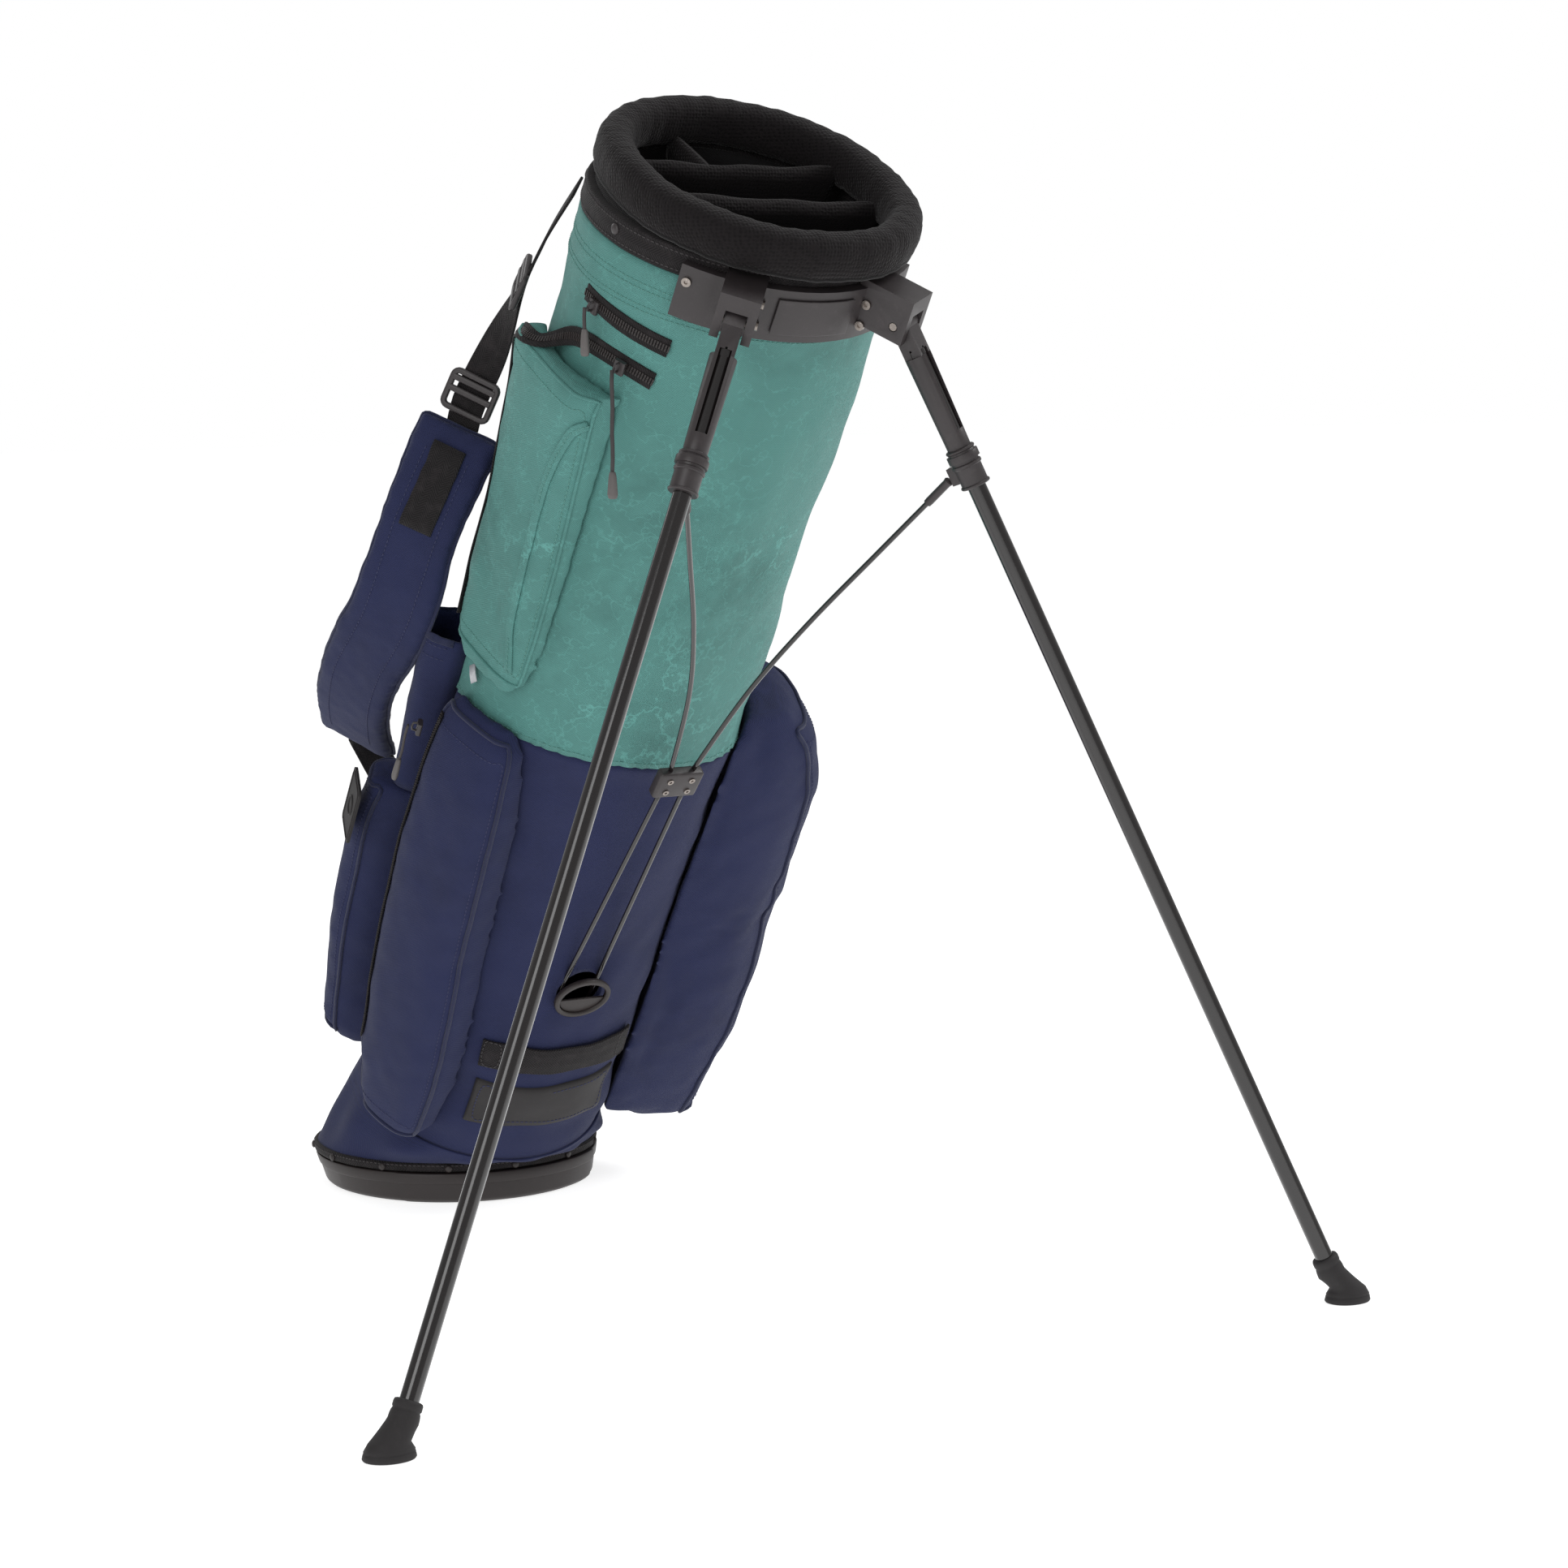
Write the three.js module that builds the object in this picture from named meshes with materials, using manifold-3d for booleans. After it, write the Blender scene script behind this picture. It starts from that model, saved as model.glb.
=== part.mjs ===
// Golf stand bag leaning on its open stand. Millimetres, +Z up.
// The origin is the middle of the sole. The bag leans towards +X, over its two legs; +Y is its right-hand side.
import * as THREE from 'three';
import { mergeVertices } from 'three/addons/utils/BufferGeometryUtils.js';
import Module from 'manifold-3d';

const wasm = await Module();
wasm.setup();

const DEG = Math.PI / 180;
const GAP = 0.4; // clearance that touching pieces keep
const SIDES = { left: -1, right: 1 };

// ---------- Driving dimensions ----------
const LEAN = 32 * DEG; // bag axis from vertical
const BODY_TOP = 860; // all heights below are measured along the bag axis
const BODY_BOTTOM = 92;
const COLOUR_SEAM = 465; // where the waxed upper canvas meets the lower one
const BODY_WALL = 3.5;
const RIM_SLOPE = 0.1; // the rim rises by this much per millimetre towards the legs
const RING_SIDES = 40;
const POCKET_GAP = 1.4; // cloth of a pocket's back stands this far off the body

// Height up the bag, front of the body, back of the body, half its width.
const BODY_STATIONS = [
  [0, 80, -96, 94], [BODY_BOTTOM, 82, -96, 94], [184, 88, -94, 97], [236, 86, -93, 100], [288, 80, -92, 103],
  [COLOUR_SEAM, 84, -92, 109], [620, 90, -94, 106], [760, 96, -102, 108], [BODY_TOP, 98, -108, 108], [960, 98, -108, 108],
];

const BASE = { halfDepth: 98, halfWidth: 105, flare: 6, shellTop: 24, wall: 5, floor: 5, bevel: 4, shift: 2.4 };
const BINDING = { low: 24.4, high: 31.8, shift: -5.5, halfDepth: 106, halfWidth: 112, wall: 9 };
const FOOT_PLATE = { edge: 66, proud: 1.4 };
const BASE_PIVOT = { x: 0, z: 30 };

const CUFF = { middle: 896, halfHeight: 16, roll: 12.5, shift: 0, halfDepth: 116, halfWidth: 106 };
const BAND = { low: BODY_TOP + GAP, high: 879.4, proud: 1.2, wall: 6 };

const LEG = { hinge: [114, 63, 863], length: 741.6, openAngle: 46.2 * DEG, swing: 33.6 * DEG, tubeRadius: 6.25 };
const LUG = { along: 108, reach: 13 };
const ROD = { x: 86, z: 50, radius: 1.8, clipAt: 407, lowSpread: 17.2, highSpread: 9, armEnd: 685, armSpread: 94.2 };

// ---------- Materials ----------
const paint = (color, roughness, metalness = 0) => new THREE.MeshStandardMaterial({ color, roughness, metalness });
const waxedCanvas = () => paint(0x64a096, 0.75);
const navyCanvas = () => paint(0x3c426e, 0.85);
const blackMesh = () => paint(0x1c191a, 0.8);
const webbing = () => paint(0x161415, 0.85);
const satinPlastic = () => paint(0x3a3637, 0.45);
const darkPlastic = () => paint(0x2b2322, 0.5);
const blackTube = () => paint(0x241f20, 0.2, 0.6);
const steel = () => paint(0x77706c, 0.35, 0.9);
const rubber = () => paint(0x2f2c2d, 0.8);

// ---------- Groups ----------
const bag = new THREE.Group(); // its +Z is the bag axis, its +X the face with the legs
bag.rotation.y = LEAN;
const standBag = new THREE.Group();
standBag.add(bag);

function add(group, name, geometry, material) {
  const mesh = new THREE.Mesh(geometry, material);
  mesh.name = name;
  group.add(mesh);
  return mesh;
}

// ---------- Geometry helpers ----------
const vec = (x, y, z) => new THREE.Vector3(x, y, z);
const mix = (a, b, t) => a + (b - a) * t;
const steps = (count) => Array.from({ length: count + 1 }, (_, i) => i / count);

// Skins rings of points. Each ring has an even count, and its two halves run side by side, so a strip caps it.
function loft(rings, cyclic = false) {
  const count = rings[0].length;
  const position = rings.flat().flatMap((p) => [p.x, p.y, p.z]);
  const index = [];
  const quad = (a, b, c, d) => index.push(a, b, c, a, c, d);
  const last = cyclic ? rings.length : rings.length - 1;
  for (let i = 0; i < last; i += 1) {
    const here = i * count;
    const next = ((i + 1) % rings.length) * count;
    for (let j = 0; j < count; j += 1) {
      const k = (j + 1) % count;
      quad(here + j, here + k, next + k, next + j);
    }
  }
  if (!cyclic) {
    const top = (rings.length - 1) * count;
    for (let j = 0; j < count / 2 - 1; j += 1) {
      const opposite = count - 1 - j;
      quad(j, opposite, opposite - 1, j + 1);
      quad(top + j, top + j + 1, top + opposite - 1, top + opposite);
    }
  }
  const geometry = new THREE.BufferGeometry();
  geometry.setAttribute('position', new THREE.Float32BufferAttribute(position, 3));
  geometry.setIndex(signedVolume(position, index) < 0 ? index.reverse() : index);
  return geometry;
}

function signedVolume(position, index) {
  const corner = (i) => vec(...position.slice(3 * index[i], 3 * index[i] + 3));
  let volume = 0;
  for (let i = 0; i < index.length; i += 3) volume += corner(i).dot(corner(i + 1).cross(corner(i + 2)));
  return volume;
}

function toManifold(geometry) {
  const plain = geometry.clone();
  plain.deleteAttribute('normal');
  plain.deleteAttribute('uv');
  const merged = mergeVertices(plain, 1e-4);
  return new wasm.Manifold(new wasm.Mesh({
    numProp: 3,
    vertProperties: Float32Array.from(merged.attributes.position.array),
    triVerts: Uint32Array.from(merged.index.array),
  }));
}

function toGeometry(solid) {
  const mesh = solid.getMesh();
  const geometry = new THREE.BufferGeometry();
  geometry.setAttribute('position', new THREE.BufferAttribute(Float32Array.from(mesh.vertProperties), 3));
  geometry.setIndex(Array.from(mesh.triVerts));
  return geometry;
}

const join = (...geometries) => toGeometry(geometries.map(toManifold).reduce((a, b) => a.add(b)));
const cut = (geometry, ...tools) => toGeometry(tools.map(toManifold).reduce((a, b) => a.subtract(b), toManifold(geometry)));
const common = (a, b) => toGeometry(toManifold(a).intersect(toManifold(b)));

const box = (dx, dy, dz, x, y, z) => new THREE.BoxGeometry(dx, dy, dz).translate(x, y, z);

// A rod from low to high along Z.
const rod = (radius, low, high, sides = 16, topRadius = radius) => new THREE
  .CylinderGeometry(topRadius, radius, high - low, sides).rotateX(90 * DEG).translate(0, 0, (low + high) / 2);

function ellipse(z, shift, halfDepth, halfWidth, sides = RING_SIDES) {
  return Array.from({ length: sides }, (_, i) => {
    const turn = (2 * Math.PI * (i + 0.5)) / sides;
    return vec(shift + halfDepth * Math.cos(turn), halfWidth * Math.sin(turn), z);
  });
}

// A round wire along a path.
function wire(points, radius, stepCount, sides = 8) {
  const section = new THREE.Shape(Array.from({ length: sides }, (_, i) => new THREE
    .Vector2(radius * Math.cos((2 * Math.PI * i) / sides), radius * Math.sin((2 * Math.PI * i) / sides))));
  const extrudePath = new THREE.CatmullRomCurve3(points);
  return new THREE.ExtrudeGeometry(section, { steps: stepCount, bevelEnabled: false, extrudePath });
}

// A flat strap or pad along a path: across is the direction of its width.
function ribbon(points, width, thickness, across, stepCount = 14) {
  const path = new THREE.CatmullRomCurve3(points);
  const corner = Math.min(width, thickness) * 0.3;
  const outline = [
    [-1, -1, 0, 1], [-1, -1, 1, 0], [1, -1, -1, 0], [1, -1, 0, 1],
    [1, 1, 0, -1], [1, 1, -1, 0], [-1, 1, 1, 0], [-1, 1, 0, -1],
  ];
  return loft(steps(stepCount).map((t) => {
    const centre = path.getPoint(t);
    const tangent = path.getTangent(t);
    const side = across.clone().addScaledVector(tangent, -across.dot(tangent)).normalize();
    const face = tangent.clone().cross(side);
    return outline.map(([u, v, du, dv]) => centre.clone()
      .addScaledVector(side, (u * width) / 2 + du * corner)
      .addScaledVector(face, (v * thickness) / 2 + dv * corner));
  }));
}

// ---------- The body's outer surface ----------
function section(height) {
  const above = Math.max(1, BODY_STATIONS.findIndex(([h]) => h >= height));
  const [low, high] = [BODY_STATIONS[above - 1], BODY_STATIONS[above]];
  const t = (height - low[0]) / (high[0] - low[0]);
  const [front, back, halfWidth] = [1, 2, 3].map((k) => mix(low[k], high[k], t));
  return { shift: (front + back) / 2, halfDepth: (front - back) / 2, halfWidth };
}

// The point at an angle from the front (towards the right-hand side), standing out from the body.
function skin(angle, height, out = 0) {
  const { shift, halfDepth, halfWidth } = section(height);
  return vec(shift + (halfDepth + out) * Math.cos(angle), (halfWidth + out) * Math.sin(angle), height);
}

const slopeRim = (p) => p.setZ(p.z + RIM_SLOPE * p.x);

function bodyRing(height, out) {
  return Array.from({ length: RING_SIDES }, (_, i) => skin((2 * Math.PI * (i + 0.5)) / RING_SIDES, height, out));
}

const slopedRing = (height, out) => bodyRing(height, out).map(slopeRim);

// A tube wall of the body between two heights.
function bodyWall(heights, wall = BODY_WALL) {
  const outer = heights.map((h) => bodyRing(h, 0));
  const inner = heights.map((h) => bodyRing(h, -wall)).reverse();
  return [...outer, ...inner];
}

// A curved plate on the body, between two angles and two heights.
function bodyPlate(from, to, low, high, near, far, count = 10) {
  const arc = (h, out) => steps(count).map((t) => skin(mix(from, to, t) * DEG, h, out));
  const edge = (h) => [...arc(h, far), ...arc(h, near).reverse()];
  return loft([edge(low), edge(high)]);
}

// Adds a level at each body station that the levels pass, so that a pocket's back follows the body.
function withStations(levels) {
  const between = BODY_STATIONS.map(([h]) => h).filter((h) => levels[0][0] < h && h < levels.at(-1)[0]);
  const extra = between.filter((h) => levels.every((level) => Math.abs(level[0] - h) > 1)).map((h) => {
    const above = levels.findIndex((level) => level[0] > h);
    const [low, high] = [levels[above - 1], levels[above]];
    return low.map((value, k) => mix(value, high[k] ?? 0, (h - low[0]) / (high[0] - low[0])));
  });
  return [...levels, ...extra].sort((a, b) => a[0] - b[0]);
}

// A pocket on the body. Each level gives height, first angle, last angle, reach out from the body's chord,
// and how far the cloth droops below the level at its furthest.
function pocket(levels, aim, squareness = 0.55, count = 10) {
  const outward = vec(Math.cos(aim * DEG), Math.sin(aim * DEG), 0);
  return loft(withStations(levels).map(([height, from, to, reach, droop = 0]) => {
    const start = skin(from * DEG, height, POCKET_GAP);
    const end = skin(to * DEG, height, POCKET_GAP);
    const outer = steps(count).map((t) => {
      const turn = Math.cos(Math.PI * t);
      const along = 0.5 - 0.5 * Math.sign(turn) * Math.abs(turn) ** squareness;
      const rise = Math.sin(Math.PI * t) ** squareness;
      return start.clone().lerp(end, along).addScaledVector(outward, reach * rise).add(vec(0, 0, -droop * rise));
    });
    const inset = Math.sign(to - from) * 1.5;
    const inner = steps(count).map((t) => skin(mix(to - inset, from + inset, t) * DEG, height, POCKET_GAP));
    return [...outer, ...inner];
  }));
}

// ---------- Base: stays flat on the floor ----------
function baseCup(proud, bevel) {
  const { shift, halfDepth, halfWidth, flare, shellTop, wall, floor } = BASE;
  const ring = (z, out, rise = z / shellTop) => ellipse(
    z, shift - flare * rise, halfDepth + flare * rise + out, halfWidth + flare * rise + out);
  return loft([
    ring(0, proud - 2 * bevel, 0), ring(bevel, proud), ring(shellTop, proud),
    ring(shellTop, -wall), ring(floor, -wall), ellipse(floor, shift, 1, 1),
  ]);
}

function buildBase() {
  const { edge, proud } = FOOT_PLATE;
  const reach = 300;
  const front = (start) => box(reach, reach, reach, start + reach / 2, 0, 0);
  add(standBag, 'base_shell', cut(baseCup(0, BASE.bevel), front(edge)), darkPlastic());
  add(standBag, 'foot_plate', common(baseCup(proud, 0.5), front(edge + GAP)), darkPlastic());

  const { low, high, shift, halfDepth, halfWidth, wall } = BINDING;
  const ring = (z, out) => ellipse(z, shift, halfDepth + out, halfWidth + out);
  add(standBag, 'base_binding', loft([ring(low, 0), ring(high, 0), ring(high, -wall), ring(low, -wall)], true), webbing());

  const earHeight = ROD.z + 5 - BASE.floor - GAP;
  const ears = [-1, 1].map((side) => box(10, 4, earHeight, ROD.x - 4, side * 26, BASE.floor + GAP + earHeight / 2));
  const foot = box(10, 56, 6, ROD.x - 4, 0, BASE.floor + GAP + 3);
  add(standBag, 'rod_anchor', join(foot, ...ears), satinPlastic());
  add(standBag, 'rod_pivot_pin', rod(2, -23.5, 23.5, 12).rotateX(90 * DEG).translate(ROD.x, 0, ROD.z), steel());

  for (const [name, side] of Object.entries(SIDES)) {
    const earLow = BASE.floor + GAP;
    const earHigh = BASE_PIVOT.z + 8;
    const ear = box(16, 5, earHigh - earLow, BASE_PIVOT.x, side * 80, (earHigh + earLow) / 2);
    const pin = rod(3, -5, 5, 12).rotateX(90 * DEG).translate(BASE_PIVOT.x, side * 84, BASE_PIVOT.z);
    add(standBag, `base_hinge_${name}`, join(ear, pin), satinPlastic());
  }
}

// The loose cloth between the base and the bag.
function buildCollar() {
  const low = ellipse(BINDING.high + GAP, BINDING.shift, BINDING.halfDepth - 2, BINDING.halfWidth - 2);
  const toBag = new THREE.Matrix4().makeRotationY(LEAN);
  const high = bodyRing(BODY_BOTTOM - GAP, 0).map((p) => p.applyMatrix4(toBag));
  const inward = (ring) => {
    const centre = ring.reduce((sum, p) => sum.add(p), vec(0, 0, 0)).divideScalar(ring.length);
    return ring.map((p) => p.clone().lerp(centre, BODY_WALL / 100));
  };
  add(standBag, 'base_collar', loft([low, high, inward(high), inward(low)], true), navyCanvas());
}

// ---------- Body ----------
function buildBody() {
  const lowHeights = [BODY_BOTTOM, 184, 236, 288, 375, COLOUR_SEAM - GAP];
  const rodPort = box(60, 36, 66, 90, 0, 258);
  add(bag, 'lower_body', cut(loft(bodyWall(lowHeights), true), rodPort), navyCanvas());

  const highHeights = [COLOUR_SEAM, 540, 620, 690, 760];
  const outerTop = slopedRing(BODY_TOP, 0);
  const innerTop = slopedRing(BODY_TOP, -BODY_WALL);
  const wall = bodyWall(highHeights);
  wall.splice(highHeights.length, 0, outerTop, innerTop);
  add(bag, 'upper_body', loft(wall, true), waxedCanvas());

  const { low, high, proud, wall: bandWall } = BAND;
  const bandRings = [[low, proud], [high, proud], [high, -bandWall], [low, -bandWall]];
  add(bag, 'cuff_band', loft(bandRings.map(([h, out]) => slopedRing(h, out)), true), webbing());

  // The frame that the lower cloth is sewn to, with the two tongues that reach down to the base hinge.
  const frame = loft([bodyRing(98, -4), bodyRing(106, -4), bodyRing(106, -12), bodyRing(98, -12)], true);
  const pivotA = -BASE_PIVOT.z * Math.sin(LEAN);
  const pivotH = BASE_PIVOT.z * Math.cos(LEAN);
  const tongues = Object.values(SIDES).map((side) => {
    const bar = box(13, 3.6, 104 - pivotH + 6, pivotA, side * 86, (104 + pivotH - 6) / 2);
    const bore = rod(3.6, -4, 4, 12).rotateX(90 * DEG).translate(pivotA, side * 86, pivotH);
    return cut(bar, bore);
  });
  const rodGap = box(60, 50, 40, 80, 0, 102);
  add(bag, 'bottom_frame', join(cut(frame, rodGap), ...tongues), satinPlastic());

  // Stiffening stays inside the body, one on each side.
  for (const [name, side] of Object.entries(SIDES)) {
    const route = [112, 288, COLOUR_SEAM, 620, 760, 842].map((h) => skin(side * 75 * DEG, h, -7.5));
    add(bag, `stay_${name}`, wire(route, 2.5, 12), rubber());
  }
}

// ---------- Mouth ----------
function buildMouth() {
  const { middle, halfHeight, roll, shift, halfDepth, halfWidth } = CUFF;
  const profile = Array.from({ length: 12 }, (_, i) => {
    const turn = (2 * Math.PI * i) / 12;
    const soft = (v) => Math.sign(v) * Math.abs(v) ** 0.75;
    return [roll * soft(Math.cos(turn)), halfHeight * soft(Math.sin(turn))];
  });
  const rings = Array.from({ length: RING_SIDES }, (_, i) => {
    const turn = (2 * Math.PI * (i + 0.5)) / RING_SIDES;
    return profile.map(([out, up]) => slopeRim(vec(
      shift + (halfDepth - roll + out) * Math.cos(turn), (halfWidth - roll + out) * Math.sin(turn), middle + up)));
  });
  add(bag, 'cuff_pad', loft(rings, true), blackMesh());

  // Padded walls that part the mouth: narrow inside the cuff, as wide as the body below it.
  const innerWidth = (a, h) => {
    const inside = h > BAND.low - 10
      ? { shift, halfDepth: halfDepth - 2 * roll - 1.5, halfWidth: halfWidth - 2 * roll - 1.5 } : section(h);
    const trim = h > BAND.low - 10 ? 0 : BODY_WALL + 8;
    return (inside.halfWidth - trim) * Math.sqrt(1 - ((a - inside.shift) / (inside.halfDepth - trim)) ** 2);
  };
  const wall = (a, thickness, low, high) => {
    const heights = [low, 780, 850, 853, high];
    const edge = heights.map((h) => [Math.min(innerWidth(a - thickness, h), innerWidth(a + thickness, h)), h]);
    const outline = [...edge, ...edge.map(([b, h]) => [-b, h]).reverse()].map(([b, h]) => new THREE.Vector2(b, h));
    return new THREE.ExtrudeGeometry(new THREE.Shape(outline), { depth: thickness, bevelEnabled: false })
      .applyMatrix4(new THREE.Matrix4().makeBasis(vec(0, 1, 0), vec(0, 0, 1), vec(1, 0, 0)))
      .translate(a - thickness / 2, 0, 0);
  };
  add(bag, 'divider_front', wall(16, 11, 640, 896), blackMesh());
  add(bag, 'divider_rear', wall(-38, 9, 640, 898), blackMesh());
  add(bag, 'divider_cross', box(34, 8, 130, -61, -12, 832), blackMesh());
}

// ---------- Leg bracket on the front of the cuff ----------
const [HINGE_A, HINGE_B, HINGE_H] = LEG.hinge;

// Moves a shape from leg axes (+X the way the leg opens, -Z down the folded leg) to the bag.
const legAxes = (side) => new THREE.Matrix4().makeRotationZ(side * LEG.swing).setPosition(HINGE_A, side * HINGE_B, HINGE_H);

function buildBracket() {
  const plate = bodyPlate(-47, 47, 842, 880, BAND.proud + GAP + 0.4, BAND.proud + 8, 16);
  const housings = Object.values(SIDES).map((side) => {
    const block = box(40, 27, 32, -11, 0, 6);
    const slot = box(60, 15, 60, 19, 0, -19.5);
    const bore = rod(3.2, -20, 20, 16).rotateX(90 * DEG);
    return cut(block, slot, bore).applyMatrix4(legAxes(side));
  });
  const clearBand = bodyPlate(-70, 70, 800, 930, -30, BAND.proud + GAP + 0.4, 24);
  add(bag, 'leg_bracket', cut(join(plate, ...housings), clearBand), satinPlastic());
  add(bag, 'bracket_plate', bodyPlate(-14, 14, 848, 874, BAND.proud + 8 + GAP, BAND.proud + 10, 8), satinPlastic());
  for (const [name, side] of Object.entries(SIDES)) {
    add(bag, `leg_pin_${name}`, rod(2.7, -13.2, 13.2, 12).rotateX(90 * DEG).applyMatrix4(legAxes(side)), steel());
  }
}

// ---------- Legs ----------
function buildLegs() {
  for (const [name, side] of Object.entries(SIDES)) {
    const leg = new THREE.Group();
    leg.applyMatrix4(legAxes(side).multiply(new THREE.Matrix4().makeRotationY(-LEG.openAngle)));
    bag.add(leg);

    const knuckle = rod(8.4, -7, 7, 16).rotateX(90 * DEG);
    const neck = box(13, 13, 28, 0, 0, -14);
    const barrel = rod(8.2, -92, -25, 16, 9.2);
    const window = box(12, 8, 58, 9, 0, -50);
    const tubeSpace = rod(LEG.tubeRadius + GAP, -100, -19.6);
    const pinHole = rod(3.2, -9, 9, 16).rotateX(90 * DEG);
    add(leg, `leg_sleeve_${name}`, cut(join(knuckle, neck, barrel), window, tubeSpace, pinHole), satinPlastic());
    add(leg, `leg_tube_${name}`, rod(LEG.tubeRadius, -722, -20), blackTube());

    const collar = join(rod(9.4, -118, -93), rod(11, -100, -95), box(10, 6, 12, -LUG.reach + 3, 0, -LUG.along));
    add(leg, `leg_collar_${name}`, cut(collar, rod(LEG.tubeRadius + GAP, -130, -80)), satinPlastic());
    buildFoot(name, side);
  }
}

// The rubber foot is sloped to the leg and flat on the floor.
function buildFoot(name, side) {
  const toFloor = new THREE.Matrix4().makeRotationY(LEAN).multiply(legAxes(side))
    .multiply(new THREE.Matrix4().makeRotationY(-LEG.openAngle));
  const across = (s, radius) => ellipse(-s, 0, radius, radius, 20).map((p) => p.applyMatrix4(toFloor));
  const tip = vec(0, 0, -LEG.length).applyMatrix4(toFloor);
  const floorRing = (z, out) => ellipse(z, tip.x + 1, 13 + out, 15 + out, 20).map((p) => p.setY(p.y + tip.y + side * 2));
  const boot = loft([across(707, 8.6), across(718, 9.4), floorRing(9, -1), floorRing(3, 1), floorRing(0, 0)]);
  const tubeSpace = rod(LEG.tubeRadius + GAP, -722 - GAP, -690).applyMatrix4(toFloor);
  add(standBag, `foot_${name}`, cut(boot, tubeSpace), rubber());
}

// ---------- Push rods: from the base, through the port, to the legs ----------
function buildRods() {
  const rods = new THREE.Group();
  const lugs = new THREE.Matrix4().makeRotationY(LEAN).multiply(legAxes(1))
    .multiply(new THREE.Matrix4().makeRotationY(-LEG.openAngle));
  const lug = vec(-LUG.reach, 0, -LUG.along).applyMatrix4(lugs);
  rods.position.set(ROD.x, 0, ROD.z);
  rods.rotation.y = Math.atan2(lug.x - ROD.x, lug.z - ROD.z);
  standBag.add(rods);

  add(rods, 'rod_cross_bar', cut(rod(4.5, -21, 21).rotateX(90 * DEG), rod(2.5, -30, 30).rotateX(90 * DEG)), satinPlastic());
  const clip = { low: ROD.clipAt - 12, high: ROD.clipAt + 12 };
  add(rods, 'rod_clip', box(9, 34, clip.high - clip.low, 0, 0, ROD.clipAt), satinPlastic());
  for (const [name, side] of Object.entries(SIDES)) {
    const lower = wire([vec(0, side * ROD.lowSpread, 5), vec(0, side * ROD.highSpread, clip.low - GAP)], ROD.radius, 2);
    add(rods, `push_rod_${name}`, lower, blackTube());
    const bow = [[0.3, 0.17], [0.55, 0.42], [0.8, 0.74]]
      .map(([t, y]) => vec(0, side * mix(ROD.highSpread, ROD.armSpread, y), mix(clip.high, ROD.armEnd, t)));
    const route = [vec(0, side * ROD.highSpread, clip.high + 0.8), ...bow, vec(0, side * ROD.armSpread, ROD.armEnd)];
    add(rods, `rod_arm_${name}`, wire(route, ROD.radius, 12), blackTube());
  }
}

// ---------- Rod port, grab strap and hinge panel on the lower front ----------
function buildFront() {
  const onFront = (geometry, height, out) => {
    const at = skin(0, height, out);
    return geometry.rotateY(90 * DEG).rotateY(7 * DEG).translate(at.x, at.y, at.z);
  };
  const oval = (out) => ellipse(0, 0, 19 + out, 22 + out, 28);
  const lift = (ring, z) => ring.map((p) => p.clone().setZ(z));
  const ring = loft([lift(oval(0), 0), lift(oval(0), 4), lift(oval(-3.5), 4), lift(oval(-3.5), 0)], true);
  add(bag, 'rod_port', onFront(ring, 262, 3.2), darkPlastic());
  const disc = loft([lift(oval(-3.5 - GAP), 1), lift(oval(-3.5 - GAP), 3)]);
  const lowerHalf = common(disc, box(60, 60, 20, 31, 0, 0));
  add(bag, 'port_cover', onFront(lowerHalf, 262, 3.2), darkPlastic());

  add(bag, 'hinge_panel', bodyPlate(-36, 36, 130, 174, GAP, 2.6, 12), rubber());
  const strapRoute = [-37, -28, -14, 0, 14, 28, 37].map((angle, i) => skin(angle * DEG, 202, i % 6 ? 3 : 2));
  add(bag, 'grab_strap', ribbon(strapRoute, 24, 2.2, vec(0, 0, 1), 18), webbing());
}

// ---------- Pockets ----------
function buildPockets() {
  add(bag, 'side_pocket', pocket([
    [508, -62, -98, 12], [525, -55, -110, 20], [570, -53, -120, 26], [640, -53, -124, 30],
    [720, -53, -125, 36], [752, -53, -122, 38], [768, -53, -112, 34],
  ], -88, 0.5), waxedCanvas());
  add(bag, 'apparel_pocket', pocket([
    [100, -54, -72, 18], [116, -46, -86, 34], [160, -42, -95, 42], [260, -41, -98, 46],
    [360, -42, -98, 46], [430, -44, -98, 40], [470, -48, -95, 28], [486, -56, -90, 14],
  ], -65), navyCanvas());
  add(bag, 'ball_pocket', pocket([
    [94, 62, 110, 54, 26], [102, 50, 124, 100, 22], [170, 46, 130, 116, 6], [300, 46, 132, 121],
    [410, 46, 126, 110], [455, 48, 118, 86], [482, 56, 110, 46],
  ], 90, 0.42), navyCanvas());
  add(bag, 'accessory_pocket', pocket([
    [118, -106, -124, 24], [135, -102, -130, 42], [220, -101, -133, 54], [330, -101, -133, 54],
    [372, -101, -130, 46],
  ], -116), navyCanvas());
  buildBottleSleeve();
}

// A sleeve with an open mouth, above the accessory pocket.
function buildBottleSleeve() {
  const [low, floor, high, above] = [372.5, 380, 508, 530];
  const cloth = 3;
  const levels = (heights, inset) => heights.map((h) => [h, -101 - inset / 2, -127 + inset / 2, 29 - inset]);
  const hollow = pocket(levels([floor, above], cloth), -116).translate(-1.3, -2.7, 0);
  add(bag, 'bottle_sleeve', cut(pocket(levels([low, high], 0), -116), hollow), navyCanvas());
}

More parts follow.
